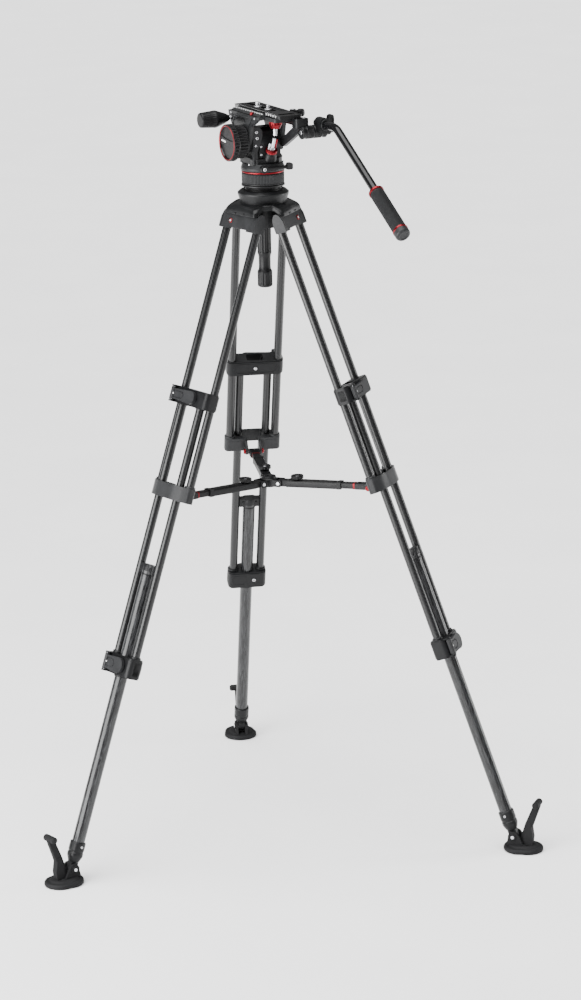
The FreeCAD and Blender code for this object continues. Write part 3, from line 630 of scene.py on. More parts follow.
def clamp_pieces(leg, p, body, which, z_top, z_bot, half, y0, face, pin, reach):
    """A clamp from y0 to face with a flip lever that hinges on a pin at its face."""
    upper, name = which == "upper", leg + "_" + which
    mid, h = (z_top + z_bot) / 2, (z_top - z_bot) / 2
    if upper:
        holes = [disc(k * OUT, OY, TR + 0.05, 40) for k in (-1, 1)] + [rrect(-17, 17, -9, 14, 4)]
        cup = [(10.6, z_bot - 1.5), (10.6, z_bot + 2)]
    else:
        holes = [disc(0, IY, LR + 0.05, 56)]
        cup = [(11, z_top - 2), (11, z_top + 3.5), (10.2, z_top + 4.6)]
    shapes = band(half, y0, face, z_bot, z_top, 11, holes)
    shapes += [spun(cup, 0.5, (k * INN, IY, 0), seg=56, bore=TR + 0.1) for k in (-1, 1)]
    if not upper:
        shapes.append(spun([(14.6, z_bot - 3.6), (15.2, z_bot - 2.6), (15.2, z_bot + 2)], 0.6, (0, IY, 0),
            seg=64, bore=LR + 0.1))
    for k in (-1, 1):
        a, b = sorted((mid + k * (h - 3.3), mid + k * (h - 0.2)))
        shapes.append(prism([(pin - 7, face - 3), (pin + 7, face - 3), (pin + 5.6, face + 6),
            (pin + 3, face + 9.8), (pin - 3, face + 9.8), (pin - 5.6, face + 6)],
            [0, 0, 3, 3, 3, 3], 4, "xy", a, b))
    # inset window on the inner face with its clamping bolt
    win = rrect(-half + 16, half - 16, z_bot + 7, z_top - 7, (z_top - z_bot - 14) / 2 - 0.2, 6)
    rim = rrect(-half + 14, half - 14, z_bot + 5.4, z_top - 5.4, (z_top - z_bot - 11) / 2 - 0.2, 6)
    if upper:
        shapes.append(slab(rim, "xz", y0 - 0.6, y0 + 1, holes=[win]))
    else:
        shapes += [slab(rrect(3, 27, z_bot + 4, z_top - 4, 5), "xz", y0 - 0.6, y0 + 1),
            slab(rrect(-34, -3, z_bot + 7, z_top - 7, 6), "xz", y0 - 0.5, y0 + 1,
            holes=[rrect(-31, -6, z_bot + 10, z_top - 10, 4)])]
    end = 1 if upper else -1
    shapes.append(slab(rrect(-9 + (y0 + face) / 2, 9 + (y0 + face) / 2, z_bot + 6, z_top - 6, 5), "yz",
        *sorted((end * (half - 1), end * half))))
    piece(name + "_clamp_band", shapes, p, body, CASTING, 0.9, 3, hides=[name + "_clamp"])
    piece(name + "_clamp_bolts", [screw((0 if upper else 14, y0 + 0.2, mid), "-y", 3.6, 1.6),
        rod(2.4, -h + 0.8, h - 0.8, 0.3, (pin, face + 5.5, mid), "z")], p, body, METAL, 0.15)

    # D-shaped flip lever with its inset and a plain white dot
    g = h - 3.9
    tip = pin - reach
    outline = disc(tip + g, mid, g, 20, pi / 2, 3 * pi / 2) + rounded([(pin - 3, mid - g),
        (pin + 4.4, mid - g), (pin + 4.4, mid + g), (pin - 3, mid + g)], [3, 2, 2, 3], 3)
    loop_end = pin - 5 - reach * 0.45
    loops = []
    for shrink in (0, 1.7):
        r = g * 0.56 - shrink
        loops.append(disc(loop_end + g * 0.56, mid, r, 14, pi / 2, 3 * pi / 2) +
            [(pin - 5 - shrink, mid - r), (pin - 5 - shrink, mid + r)])
    inset = face + 6.6
    piece(name + "_lever_shell", [slab(outline, "xz", face + 1, inset),
        slab(outline, "xz", inset - 0.4, face + 8.2, holes=[loops[0]]),
        slab(loops[1], "xz", inset - 0.4, face + 8), rod(5, mid - g, mid + g, 0.8, (pin, face + 5, 0), "z",
        40)], p, name + "_lever", DARK_GREY, 0.9, 3, hides=[name + "_lever"])
    piece(name + "_lever_dot", [rod(1.5, face + 7.4, face + 8.6, 0.1, (pin - 5, 0, mid), "y", 24)], p,
        name + "_lever", WHITE, 0)


def lower_leg_pieces(leg, p, body):
    """Thick lower tube with the guide at its top and the foot's socket at its end."""
    piece(leg + "_lower_carbon_tube", [lathe([(LR - 0.05, -1300), (LR - 0.05, -727), (LR - 1.9, -727),
        (LR - 1.9, -1300)], (0, IY, 0), seg=80)], p, body, ("carbon", STREAK), 0, hides=[leg + "_lower_leg"])
    # guide that runs between the inner tubes
    holes = [disc(k * INN, IY, TR + 0.06, 40) for k in (-1, 1)]
    side = rounded([(-22, IY - 6.6), (-13, IY - 7), (-9, IY - 9.5), (9, IY - 9.5), (13, IY - 7),
        (22, IY - 6.6), (20.6, IY), (22, IY + 6.6), (13, IY + 7), (9, IY + 9.5), (-9, IY + 9.5),
        (-13, IY + 7), (-22, IY + 6.6), (-20.6, IY)], 1.6, 3)
    shapes = [slab(side, "xy", -732.6, -713.4), spun([(9, -713), (11, -714.5), (12.6, -719), (12.9, -725),
        (12.9, -733)], 1, (0, IY, 0), seg=56), spun([(13.9, -735.4), (13.9, -733), (13.4, -732)], 0.4,
        (0, IY, 0), seg=64, bore=LR + 0.1)]
    for k in (-1, 1):
        shapes.append(rod(4.6, IY - 8.9, IY + 8.9, 0.8, (k * 12.8, 0, -723), "y", 6))
    piece(leg + "_guide_block", shapes, p, body, CASTING, 0.6)
    # socket and fork at the end of the tube
    f = (LEG[leg].inverted() @ Vector(joints[leg + "_foot_tilt"]["pos_m"])).z / MM
    socket = turned([(0, -1301), (LR + 0.1, -1300), (LR + 0.1, -1286), (15, -1286), (16, -1288), (16, -1304),
        (15.2, -1305), (15.2, -1308), (16, -1309), (16, -1315), (14.5, -1319), (11.4, -1326),
        (9, -1329), (0, -1329)], 0.8)
    eye = rounded([(IY - 8.6, -1322), (IY - 8.8, f), (IY - 6, f - 8.6), (IY + 6, f - 8.6), (IY + 8.8, f),
        (IY + 8.6, -1322)], [1, 8, 8, 8, 8, 1], 8)
    piece(leg + "_tube_socket", [lathe(socket, (0, IY, 0), seg=64), slab(eye, "yz", -6.9, 6.9),
        block(-9.5, 9.5, IY - 3, IY + 3, -1329, -1318, 1)], p, body, CASTING, 0.7)
    piece(leg + "_socket_screws", [screw((k * 15.2, IY, -1295), "x" if k > 0 else "-x", 2.6, 1.4)
        for k in (-1, 1)], p, body, METAL, 0.15)


PAD, TREAD, FOOT_PIN = 36, 30, 28


def foot_pieces(leg, p, body):
    """Rubber foot and its bracket with the raised grip."""
    def egg(r):
        """Outline of the foot, narrower at its outer end."""
        return disc(0, 14, r, 28, pi, 2 * pi) + disc(0, 27, r - 3, 28, 0, pi)

    pad = loft([[(u, v, z) for u, v in egg(PAD + grow)] for z, grow in ((0.2, -2.2), (0.2, -1.6), (1.4, -0.4),
        (3.4, 0), (6.5, -0.2), (8.8, -1.6), (9.8, -3.6), (9.9, -6), (9.2, -8), (9.4, -9.5),
        (12, -12.5), (12.8, -15))])
    tread = loft([[(u, v, z) for u, v in egg(TREAD)] for z in (0, 1)])
    piece(leg + "_foot_pad", [pad, tread], p, body, SOFT, 0.3, hides=[leg + "_rubber_foot"])
    strut = [(-15, 9), (24, 9), (15, 28), (9, 37), (3, 39.6), (-5, 39), (-10, 32), (-11, 22)]
    boss = turned([(0, 12.6), (7.4, 12.6), (7.4, 14.4), (6.6, 15.2), (0, 15.2)], 0.5)
    shapes = twins(rounded(strut, [1, 2, 6, 5, 4, 5, 5, 5]), 7.6, 13.2)
    shapes += [lathe(boss, (0, 0, FOOT_PIN), side, 36) for side in ("-x", "x")]
    arm = rounded([(12, 10), (22, 10), (36, 44), (55, 98), (49, 104), (41, 99), (24, 58), (14, 26)],
        [1, 2, 20, 4, 3, 3, 20, 8], 6)
    brace = rounded([(16, 9), (38, 9), (41, 30), (37, 56), (33, 62), (26, 50), (20, 26)],
        [1, 3, 14, 8, 3, 10, 10], 6)
    rib = rounded([(17, 16), (24, 16), (38, 50), (52, 94), (47, 99), (29, 58)], [2, 2, 20, 3, 3, 20], 6)
    shapes += [slab(arm, "yz", -4.4, 4.4), slab(brace, "yz", -7, 7), slab(rib, "yz", -5.8, 5.8)]
    grip = turned([(0, -17.4), (4.4, -17.4), (6.8, -15), (7, -11)], 1.6) + [(7, -10, 1), (7, -5, 1), (7, -4),
        (6.4, 0), (7, 4), (7, 5, 1), (7, 10, 1)] + turned([(7, 11), (6.8, 15), (4.4, 17.4), (0, 17.4)], 1.6)
    shapes += [lathe(grip, (0, 48, 102), "x", 72, ribs=12, depth=0.8), block(-13.2, 13.2, 12, 30, 8, 14, 3)]
    piece(leg + "_foot_bracket", shapes, p, body, SOFT, 0.9, 3)
    piece(leg + "_foot_pin", [rod(3.6, -16, 16, 0.5, (0, 0, FOOT_PIN), "x", 32)], p, body, METAL, 0)


for leg in LEGS:
    leg_pieces(leg)


# ---------------------------------------------------------------- spreader
def reach_of(leg):
    """How far the collar's pivot is from the arm's pivot on the hub."""
    return (ARM[leg].inverted() @ LEG[leg] @ (Vector((0, *COLLAR_PIVOT)) * MM)).length / MM


hub_z = joints["back_arm_swing"]["pos_m"][2] / MM
hub_shapes = [lathe(turned([(5, hub_z - 9), (14, hub_z - 9), (16.5, hub_z - 7), (16.5, hub_z + 7),
    (14.6, hub_z + 9), (13.6, hub_z + 12.6), (9, hub_z + 12.6), (8, hub_z + 9), (5, hub_z + 8)], 1), seg=72)]
piece("spreader_hub_ring", hub_shapes, WORLD, "spreader_hub", SATIN, 0, hides=["spreader_hub"])
for leg in LEGS:
    ear = [(8, hub_z - 6.8), (24, hub_z - 6.8), (30.8, hub_z - 6.8), (30.8, hub_z + 6.8),
        (24, hub_z + 6.8), (8, hub_z + 6.8)]
    piece(leg + "_hub_ears", twins(rounded(ear, [1, 0, 6.6, 6.6, 0, 1], 7), 9.5, 13.3), SPOKE[leg],
        "spreader_hub", SATIN, 0.7)
    piece(leg + "_hub_pin", [rod(3.4, -14.4, 14.4, 0.4, (0, 24, hub_z), "x", 32)], SPOKE[leg],
        "spreader_hub", METAL, 0)
    span, body, p = reach_of(leg), leg + "_spreader_arm", ARM[leg]
    end = span - 62
    # C-shaped channel, open on the underside, with a rounded nose at the hub
    section = [(-10.4, -6.9), (-7.6, -6.9), (-7.6, 4.6), (7.6, 4.6), (7.6, -6.9),
        (10.4, -6.9), (10.4, 7), (-10.4, 7)]
    section = rounded(section, [1, 0.8, 0.8, 0.8, 0.8, 1, 2.6, 2.6], 4)
    nose = rounded([(-6.4, -6.4), (16, -6.4), (20, -7.9), (22, 7.9), (16, 6.4),
        (-6.4, 6.4)], [6, 2, 1, 1, 2, 6], 6)
    ridge = [slab(rrect(-6.5, 6.5, 62, end - 14, 3), "xy", 6.9, 7.5)]
    piece(leg + "_arm_channel", [slab(section, "xz", 17, end), slab(nose, "yz", -8.9, 8.9),
        block(-10.7, 10.7, end - 9, end, -7.2, 7.3, 0, "xz")] + ridge, p, body, SATIN, 0.6,
        hides=[leg + "_spreader_arm"])
    tip = rounded([(span - 32, -5.8), (span - 32, 5.8), (span + 5.8, 5.8),
        (span + 5.8, -5.8)], [2, 2, 5.6, 5.6], 7)
    piece(leg + "_arm_bar", [slab(rrect(-8.2, 8.2, -5.8, 5.8, 1.6), "xz", end - 40,
        span - 20)], p, body, SATIN, 0.3)
    piece(leg + "_arm_end_block", [slab(tip, "yz", -10.3, 10.3),
        slab(rrect(span - 26, span - 10, -3.4, 3.4, 2), "yz", -10.8, 10.8)], p, body, CASTING, 0.8)
    piece(leg + "_arm_end_ring", [slab(rrect(-8.4, 8.4, -6.4, 6.4, 2.2), "xz", span - 36, span - 32)],
        p, body, ANODISED, 0.4)
    knob = turned([(0, 9.6), (11.4, 9.6)], 0.6) + [(12.6, 10.4), (13, 11.2), (13, 11.8, 1), (13, 15, 1),
        (13, 15.6), (12.2, 16.8), (10.6, 17), (9.2, 16.4), (6.4, 14.4), (0, 14)]
    piece(leg + "_arm_lock_knob", [lathe(knob, (0, 38, 0), "z", 120, ribs=15, depth=1.1, power=1.4),
        lathe([(0, 7.8), (5, 7.8), (5, 10), (0, 10)], (0, 38, 0))], p, leg + "_spreader_knob", BLACK, 0,
        hides=[leg + "_spreader_knob"])
    piece(leg + "_arm_knob_screw", [rod(3.4, 13.6, 15.2, 0.4, (0, 38, 0), "z", 32)], p,
        leg + "_spreader_knob", METAL, 0)


# ---------------------------------------------------------------- fluid head
TZ = joints["tilt"]["pos_m"][2] / MM
H = HEAD


def in_head(joint):
    """Place of a joint in the head's frame, in millimetres."""
    return (HEAD.inverted() @ Vector(joints[joint]["pos_m"])) / MM


# points on the axes of the tilt dial, the pan bar's toothed joint and the counterbalance knob
DIAL = (0, 0, TZ)
RY, RZ = in_head("pan_bar_turn").yz
ROSETTE, BALANCE = (0, RY, RZ), (0, *in_head("counterbalance_turn").yz)
# height of the carriage's deck and of the camera plate's top
DECK, PLATE_TOP = 1491.8, 1500

drag = [(31, 1348.6), (40.8, 1348.6), (42.4, 1349.4), (42.4, 1350.4), (41.7, 1351, 1), (42.5, 1351.8, 1),
    (42.5, 1369.4, 1), (41.7, 1370, 1), (42.2, 1370.4), (42, 1371), (41.2, 1371.4), (31, 1371.4)]
piece("drag_ring", [lathe(drag, seg=616, ribs=88, depth=1.1, power=1.4)], H, "pan_drag_ring", DARK_GREY, 0,
    hides=["pan_drag_ring"])
piece("trim_ring", [spun([(42.4, 1372), (43, 1372.6), (43, 1374.6), (42.4, 1375.2)], 0.5, seg=96)], H,
    "pan_body", ANODISED, 0, hides=["pan_trim_ring"])

# pan body: turned base, main block with chamfered flanks, tilt bosses
base = turned([(0, 1375.4), (42.2, 1375.4), (43.2, 1376.2), (44, 1378.4), (43.6, 1382), (40.6, 1390),
    (39.6, 1391), (0, 1391)], 0.8)
flank = rounded([(-23.6, 1400), (33.6, 1400), (33.6, 1447), (24, 1459), (16, 1461.8), (-14, 1461.8),
    (-21, 1456), (-23.6, 1448)], [1, 1, 6, 6, 6, 6, 6, 6], 5)
skirt = rounded([(-37.6, -20), (-26, -30), (22, -30), (33.6, -20), (33.6, 26), (24, 36),
    (-28, 36), (-37.6, 26)], 3, 4)
piece("head_base", [lathe(base, seg=112)], H, "pan_body", CHARCOAL, 0.3)
fin = rounded([(-33.6, 1391), (-20, 1391), (-24, 1404), (-25, 1416), (-17, 1432), (-13, 1446), (-13, 1458),
    (-20, 1464), (-33.6, 1464)], [1, 3, 8, 8, 12, 8, 4, 4, 1], 6)
piece("head_flank", [slab(fin, "xz", -27.6, -23), prism([(-29.6, 1391), (-22, 1391), (-22, 1463), (-27, 1463),
    (-28.6, 1412)], [1, 1, 1, 3, 10], 4, "yz", -33.9, -30.4)], H, "pan_body", CHARCOAL, 0.9, 3)
piece("head_flank_bolts", [screw((-25.5, -27.2, 1455), "-y", 2.9, 1.2),
    screw((-24.5, -27.2, 1443), "-y", 3.1, 1.2), screw((-27.5, -27.2, 1428), "-y", 2.3, 1)], H,
    "pan_body", METAL, 0.1)
shapes = [slab(flank, "yz", -33.3, 28.3), slab(skirt, "xy", 1389, 1401),
    spun([(25, -33.6), (27, -32), (27, 27), (25, 28.4)], 0.8, DIAL, "x", 80)]
for k in range(4):
    y = -12 + 9 * k
    shapes.append(prism([(y, 1403), (y + 4.5, 1403), (y + 6, 1409.6), (y + 1.5, 1409.6)],
        0.8, 5, "yz", -34.4, -33))
# lower at the front, where the cheeks swing past when the head tilts forward
for top, y0, y1 in ((1409, -22, 11), (1406.6, 10, 30)):
    chamfer = rounded([(-37.4, 1400.5), (-37.4, 1403), (-33.4, top), (-30, top), (-30, 1400.5)], 0.8)
    shapes.append(slab(chamfer, "xz", y0, y1))
    shapes.append(slab([(-x - 4.2, z) for x, z in chamfer], "xz", y0, y1))
shapes += [prism([(-24, 1404), (19, 1404), (14, 1446), (-19, 1446)], 4, 5, "xz", 32, 33.9),
    prism([(-22, 1404), (17, 1404), (12, 1430), (-17, 1430)], 4, 5, "xz", -26, -23)]
piece("head_body", shapes, H, "pan_body", CASTING, 0.9, 3, hides=["pan_body"])
piece("head_body_screws", [screw((x, 33.7, z), "y", 2.4, 0.9) for x in (-16, 11) for z in (1409, 1441)] +
    [screw((x, -25.6, z), "-y", 2.2, 1.2) for x in (-15, 10)
    for z in (1409, 1425)] + [screw((a * 38, b * 12, 1390.2), "z", 1.9, 1.4) for a, b in ((-1, -1.4),
    (1, 1.4), (-1, 1.6), (1, -1.2))], H, "pan_body", METAL, 0.1)

# counterbalance spring leaning back between body and carriage
lean = Vector((0, -0.47, 0.88)).normalized()
foot_at = Vector((4, -24, 1401))
piece("spring_cone", [spun([(14.6, -6), (14.2, 0), (11.2, 11.6), (10.4, 12.6), (10, 15)], 1, foot_at, lean,
    64)], H, "pan_body", ("red", PLASTIC), 0, hides=["gas_spring"])
piece("spring_ring", [lathe(turned([(0, 15), (10.8, 15), (11.5, 15.6)], 0.2) +
    [(11.5, 16.2, 1), (11.5, 20.8, 1)] + turned([(11.5, 21.4), (10.8, 22), (0, 22)], 0.2), foot_at, lean, 144,
    ribs=24, depth=0.7)], H, "pan_body", ANODISED, 0)
piece("spring_rod", [spun([(6.2, 21), (6.2, 24.6), (5, 26), (3.6, 26.2), (3.6, 48.5)], 0.4, foot_at, lean,
    40), spun([(2.6, 20), (2.6, 36), (1.8, 37)], 0.3, foot_at + Vector((-7, 0, 0)), lean, 28)],
    H, "pan_body", METAL, 0)
piece("spring_link", [rod(3, 22, 46, 0.4, foot_at + Vector((6, 1, 0)), lean, 28)], H, "pan_body", ANODISED, 0)
cup = [(0, 1463), (8.4, 1463), (9.2, 1463.8), (12.4, 1470.2), (13.4, 1471.4), (13.4, 1472.4, 1),
    (13.4, 1482, 1), (13.4, 1483.8), (0, 1483.8)]
piece("spring_cup", [lathe(cup, (5, -50, 0), "z", 168, ribs=14, depth=0.9)], H, "tilt_carriage", ANODISED,
    0, hides=["spring_seat"])
piece("spring_stub", [rod(4.4, 1449, 1464, 0.5, (5, -48, 0), "z", 32)], H, "tilt_carriage", METAL, 0)


def cheek(back):
    """Side plate of the carriage, which reaches back to the given y."""
    return [(-24, TZ - 4), (-16, TZ - 21.6), (16, TZ - 21.6), (28, TZ - 2), (62, 1478), (65.6, 1490.8),
        (back + 0.4, 1490.8), (back + 8, 1482), (-34, 1468)]


cheek_radii = [8, 8, 8, 10, 6, 2, 2, 4, 10]
left = rounded(cheek(-68), cheek_radii, 5)
# the raised edge of a cheek runs round a smaller copy of its outline
mid_y, mid_z = 4, 1462
inner = [(mid_y + (u - mid_y) * 0.88, mid_z + (v - mid_z) * 0.82) for u, v in left]
shapes = [slab(left, "yz", -40.6, -34.2), slab(left, "yz", -42, -40.2, holes=[inner]),
    prism([(-40, 1484), (-20, 1484), (-16, 1474), (16, 1474), (20, 1484), (52, 1484), (48, 1478), (24, 1470),
    (-20, 1464)], 2, 5, "yz", -41.5, -40.2)]
right = rounded(cheek(-48), cheek_radii, 5)
inner_r = [(mid_y + (u - mid_y) * 0.86, mid_z + (v - mid_z) * 0.80) for u, v in right]
shapes += [slab(right, "yz", 29.2, 35.6), slab(right, "yz", 35.2, 37, holes=[inner_r])]
strut = rounded([(-18, TZ - 12), (-34, TZ - 12), (-112, 1464), (-112, 1481), (-98, 1481), (-86, 1472),
    (-30, 1440)], [2, 6, 4, 3, 5, 8, 2], 5)
shapes.append(slab(strut, "yz", 29.4, 36.8))
shapes += [slab(rrect(-41.6, -20, -68, 62, 2), "xy", 1485.2, 1490.8),
    slab(rrect(20, 36.6, -48, 62, 2), "xy", 1485.2, 1490.8),
    slab(rrect(-27, 30, -112, 64, 5), "xy", 1484.2, DECK, holes=[disc(0, -90, 6, 28), disc(0, 30, 6, 28)])]
shapes += [prism([(-41.8, 1484), (-41.8, 1488), (-32.4, 1494.6), (-30.8, 1494.6), (-30.8, 1484)],
    [0.5, 2, 1.5, 0.4, 0.4], 3, "xz", -66, 60), prism([(30.8, 1484), (30.8, 1494.6), (32.4, 1494.6),
    (36.6, 1489.4), (36.6, 1484)], [0.4, 0.4, 1.5, 2, 0.5], 3, "xz", -46, 60)]
for a, b in ((-31, -26.6), (26.6, 31)):
    rail = rounded([(a, 1488), (a, 1496), (a + 1.2 if a < 0 else a, 1498), (b if a < 0 else b - 1.2, 1498),
        (b, 1496), (b, 1488)], 0.6, 3)
    shapes.append(slab(rail, "xz", -70, 50))
shapes.append(spun([(8, -42.4), (9.4, -41), (10.6, -34)], 0.6, BALANCE, "x", 56, bore=4.4))
shapes.append(rod(8, -42.3, 37, 0.4, DIAL, "x", 48))
piece("carriage_casting", shapes, H, "tilt_carriage", CHARCOAL, 0.8, 3, hides=["tilt_carriage"])
piece("carriage_screws", [screw((-41.4, y, z), "-x", 2.4, 1.4)
    for y, z in ((-52, 1486.4), (54, 1486), (-14, TZ - 12), (20, TZ - 8))] + [screw((36.4, y, z), "x", 2.4,
    1.4) for y, z in ((-38, 1486.4), (54, 1486), (22, TZ + 6), (-102, 1473))] + [screw((x, -104, 1491.2), "z",
    2, 0.9) for x in (-22, 24)], H, "tilt_carriage", METAL, 0.1)
piece("carriage_window", [slab(rrect(-6, 30, 1474.5, 1480, 2.6), "yz", -42.2, -41.2)], H, "tilt_carriage",
    ("steel", PLASTIC), 0.2)

# tilt drag dial: ribbed barrel, red rim, dished face with its turning bar
barrel = [(0, -42.7), (31.8, -42.7), (33, -43.6), (33, -46), (33, -46.8, 1), (33, -62.4, 1), (33, -63.4),
    (34.4, -65), (36.6, -65.8), (37, -66.8), (37, -67.8, 1), (37, -75.6, 1), (36.8, -76.4), (36.6, -77.6),
    (35.8, -78.2), (34.8, -78), (33, -75), (0, -74.4)]
piece("dial_barrel", [lathe(barrel, DIAL, "x", 360, ribs=30, depth=1.9, power=1.8)], H, "tilt_drag_dial",
    BLACK, 0, hides=["tilt_drag_dial"])
rim = turned([(32.2, -74), (34.9, -74), (35, -77.8), (34.4, -78.8), (33.4, -78.9),
    (32.4, -78), (31.8, -76)], 0.5)
piece("dial_rim", [lathe(rim, DIAL, "x", 128)], H, "tilt_drag_dial", ANODISED, 0)
face = turned([(0, -66.6), (12, -66.8), (22, -67.8), (28, -70.6), (31.2, -75), (32.2, -77.6), (32.5, -77.6),
    (32.5, -64), (0, -64)], 2)
piece("dial_face", [lathe(face, DIAL, "x", 112)], H, "tilt_drag_dial", ("black_plastic", GLOSS), 0)


def on_dial(points, angle=0.10):
    """An outline turned a little with the dial and put on its centre."""
    return [(u * cos(angle) - v * sin(angle), TZ + u * sin(angle) + v * cos(angle)) for u, v in points]


# a waisted bar across the dish, between two scooped finger hollows
waist = rounded([(-30.6, -9), (-14, -6), (14, -6), (30.6, -9), (30.6, 9), (14, 6), (-14, 6),
    (-30.6, 9)], [4, 20, 20, 4] * 2, 7)
# a matte white strip on one half of the bar: a painted reflection of the lamps, not a part of the dial
painted_reflection = rounded([(8, -1.7), (27, -1.7), (27, 1.7), (8, 1.7)], 1.6, 5)
piece("dial_bar", [slab(on_dial(waist), "yz", -76.2, -66)], H, "tilt_drag_dial", BLACK, 2.2, 5)
piece("dial_bar_inlay", [slab(on_dial(painted_reflection), "yz", -76.7, -75)], H, "tilt_drag_dial", WHITE, 0.4)

# counterbalance knob on its steel shaft, a little wider towards the cone
knob = turned([(0, -112.6), (12.4, -112.6), (14.6, -111.6), (15.2, -109.4)], 1.6) + [(15.3, -108.8, 1),
    (15.8, -102, 1), (16.6, -91, 1), (17.1, -83.6, 1), (17.2, -83), (17.5, -81.6), (17.3, -78), (16.8, -76.4),
    (10.4, -58), (6.4, -50), (5.8, -49), (0, -49)]
piece("balance_knob", [lathe(knob, BALANCE, "x", 240, ribs=24, depth=0.45, power=3)], H,
    "counterbalance_knob", BLACK, 0, hides=["counterbalance_knob"])
piece("balance_shaft", [spun([(3.9, -50), (3.9, -46.4), (5.4, -46.2), (5.4, -44), (3.9, -43.8), (3.9, -42.5)],
    0.3, BALANCE, "x", 40)], H, "counterbalance_knob", METAL, 0)

# sliding camera plate with pads, rule marks and screws
top = rounded([(-25.5, -124), (-22.5, -127), (22.5, -127), (25.5, -124), (25.5, 70), (22.5, 73),
    (-22.5, 73), (-25.5, 70)], 1.5, 4)
groove = rrect(-5.5, 5.5, -60, 60, 5.3, 8)
SCREWS = (("quarter", -28, 3.17, 7.8), ("three_eighths", 18, 4.75, 8.8))


def keyed(half, y0, y1, bulges, r):
    """Outline of a slot with a round counterbore at each screw."""
    a = math.acos(half / r)
    right = disc(0, y0 + half, half, 8, -pi / 2, 0)
    for y in bulges:
        right += disc(0, y, r, 14, -a, a)
    right += disc(0, y1 - half, half, 8, 0, pi / 2)
    return right + [(-u, v) for u, v in reversed(right)][1:-1]


low = [(u * 0.95, v * 0.995) for u, v in top]
pocket_a, pocket_b = rrect(-16, 16, -119, -101, 3), rrect(-16, 16, 62, 68, 2.6)
slot_top = keyed(5.5, -60, 60, [k[1] for k in SCREWS], 9.3)
shapes = [slab(low, "xy", 1492.4, 1495.2, [groove]), slab(top, "xy", 1494.8, 1498.3, [groove]),
    slab(top, "xy", 1498.2, 1499.6, [slot_top, pocket_a, pocket_b, rrect(-18, -10.6, -70, 50, 2),
    rrect(10.6, 18, -70, 50, 2)])]
shapes += [block(a, b, -124, 70, 1499.4, PLATE_TOP, 0.8, "xy") for a, b in ((-25.2, -21.4), (21.4, 25.2))]
piece("sliding_plate", shapes, H, "camera_plate", ("casting", PLATE), 0.4, hides=["camera_plate"])
pads = [slab(rrect(a, b, y, y + 34, 1.6), "xy", 1498.2, PLATE_TOP) for a, b in ((-17.4, -11.2), (11.2, 17.4))
    for y in (-68, -26, 14)]
piece("plate_pads", pads, H, "camera_plate", ("casting", RUBBER), 0.3)
# rule marks every 5 mm; those beside the clamping rail are on the rail
ticks, fixed, MARKS, STEP = [], [], 38, 5
for k in range(MARKS):
    y = 68 - STEP * k
    wide, tall = (1.3, 4) if k % 2 == 0 else (0.35, 2.2)
    if -70.5 < y < 50.5:
        fixed.append(slab(rrect(y - wide, y + wide, 1497.2 - tall, 1497.2, 0), "yz", -31.1, -30.6))
    else:
        ticks.append(slab(rrect(y - wide, y + wide, 1499.2 - tall, 1499.2, 0), "yz", -25.66, -25.3))
    ticks.append(slab(rrect(-25, -23.6 if wide < 1 else -22.4, y - 0.35, y + 0.35, 0), "xy", 1499.8, 1500.06))
piece("plate_rule", ticks, H, "camera_plate", WHITE, 0)
piece("rail_rule", fixed, H, "tilt_carriage", WHITE, 0)
for name, y, r, head in SCREWS:
    thread = [(0, 1493.6), (r, 1493.6)]
    z = PLATE_TOP
    while z < 1507.2:
        thread += [(r, z), (r - 0.4, z + 0.35), (r, z + 0.7)]
        z += 0.9
    thread += [(r - 0.6, 1508), (0, 1508)]
    collar = [(0, 1498.2), (head, 1498.2), (head, 1499.4), (head - 0.5, 1499.9), (r + 1.6, 1499.9),
        (r + 1.2, 1499.5), (0, 1499.5)]
    piece("camera_screw_" + name, [lathe(thread, (0, y, 0), "z", 40), lathe(collar, (0, y, 0), "z", 56)], H,
        "camera_plate", METAL, 0, hides=["camera_screw"])

# small controls on the carriage
arm = [(39, -60, 1496), (39, -74, 1496.4), (39.4, -86, 1497), (39.4, -99, 1498.4)]
piece("plate_lever", [spun([(6.4, 1480.2), (6.4, 1498.6), (5.4, PLATE_TOP)], 0.8, (39, -60, 0), "z", 48),
    bar(arm, [9.5, 8.5, 10, 12.5], [8.6, 7.6, 9, 12]), spun([(5.8, 1490.4), (6.8, 1491.6), (6.8, 1503.4),
    (5.8, 1504.8)], 1.2, (39, -94, 0), "z", 48)], H, "plate_lock_lever", BLACK, 0.6, 3,
    hides=["plate_lock_lever"])
piece("plate_lever_screw", [screw((39, -60, 1499.6), "z", 3.2, 1)], H, "plate_lock_lever", METAL, 0.1)
piece("release_button", [spun([(3.9, 1489.7), (3.9, 1495.2), (3.2, 1496.3)], 0.6, (-36.5, -30, 0), "z", 40)],
    H, "safety_button", ANODISED, 0, hides=["safety_button"])
arc_path = [(-22, -50, 1384.4), (-6, -50.6, 1384.4), (10, -50.6, 1384.6),
    (24, -50.2, 1385), (33, -50, 1385.6)]
piece("pan_lever", [spun([(6.8, 44.8), (7.8, 45.8), (7.8, 53.2), (6.8, 54.4)], 0.8, (-22, 0, 1384), "-y", 48),
    bar(arc_path, [8.4, 6.2, 5.8, 7, 8.6], [5.6, 5.2, 5.2, 5.6, 6], (0, 1, 0))], H, "pan_lock_lever", BLACK,
    0.6, 3, hides=["pan_lock_lever"])
piece("pan_lever_tip", [prism([(28, 1379.4), (38, 1379.4), (40, 1382), (40, 1390.6), (37, 1393), (30, 1393),
    (28, 1390)], 1.6, 5, "xz", -54.8, -45.4)], H, "pan_lock_lever", DARK_GREY, 1, 3)
piece("pan_lever_screw", [screw((-22, -54.2, 1384), "-y", 3.6, 0.9)], H, "pan_lock_lever", METAL, 0.1)
tl = [(43, 0, TZ), (43, 14, TZ + 0.5), (43.4, 28, TZ), (44, 39, TZ)]
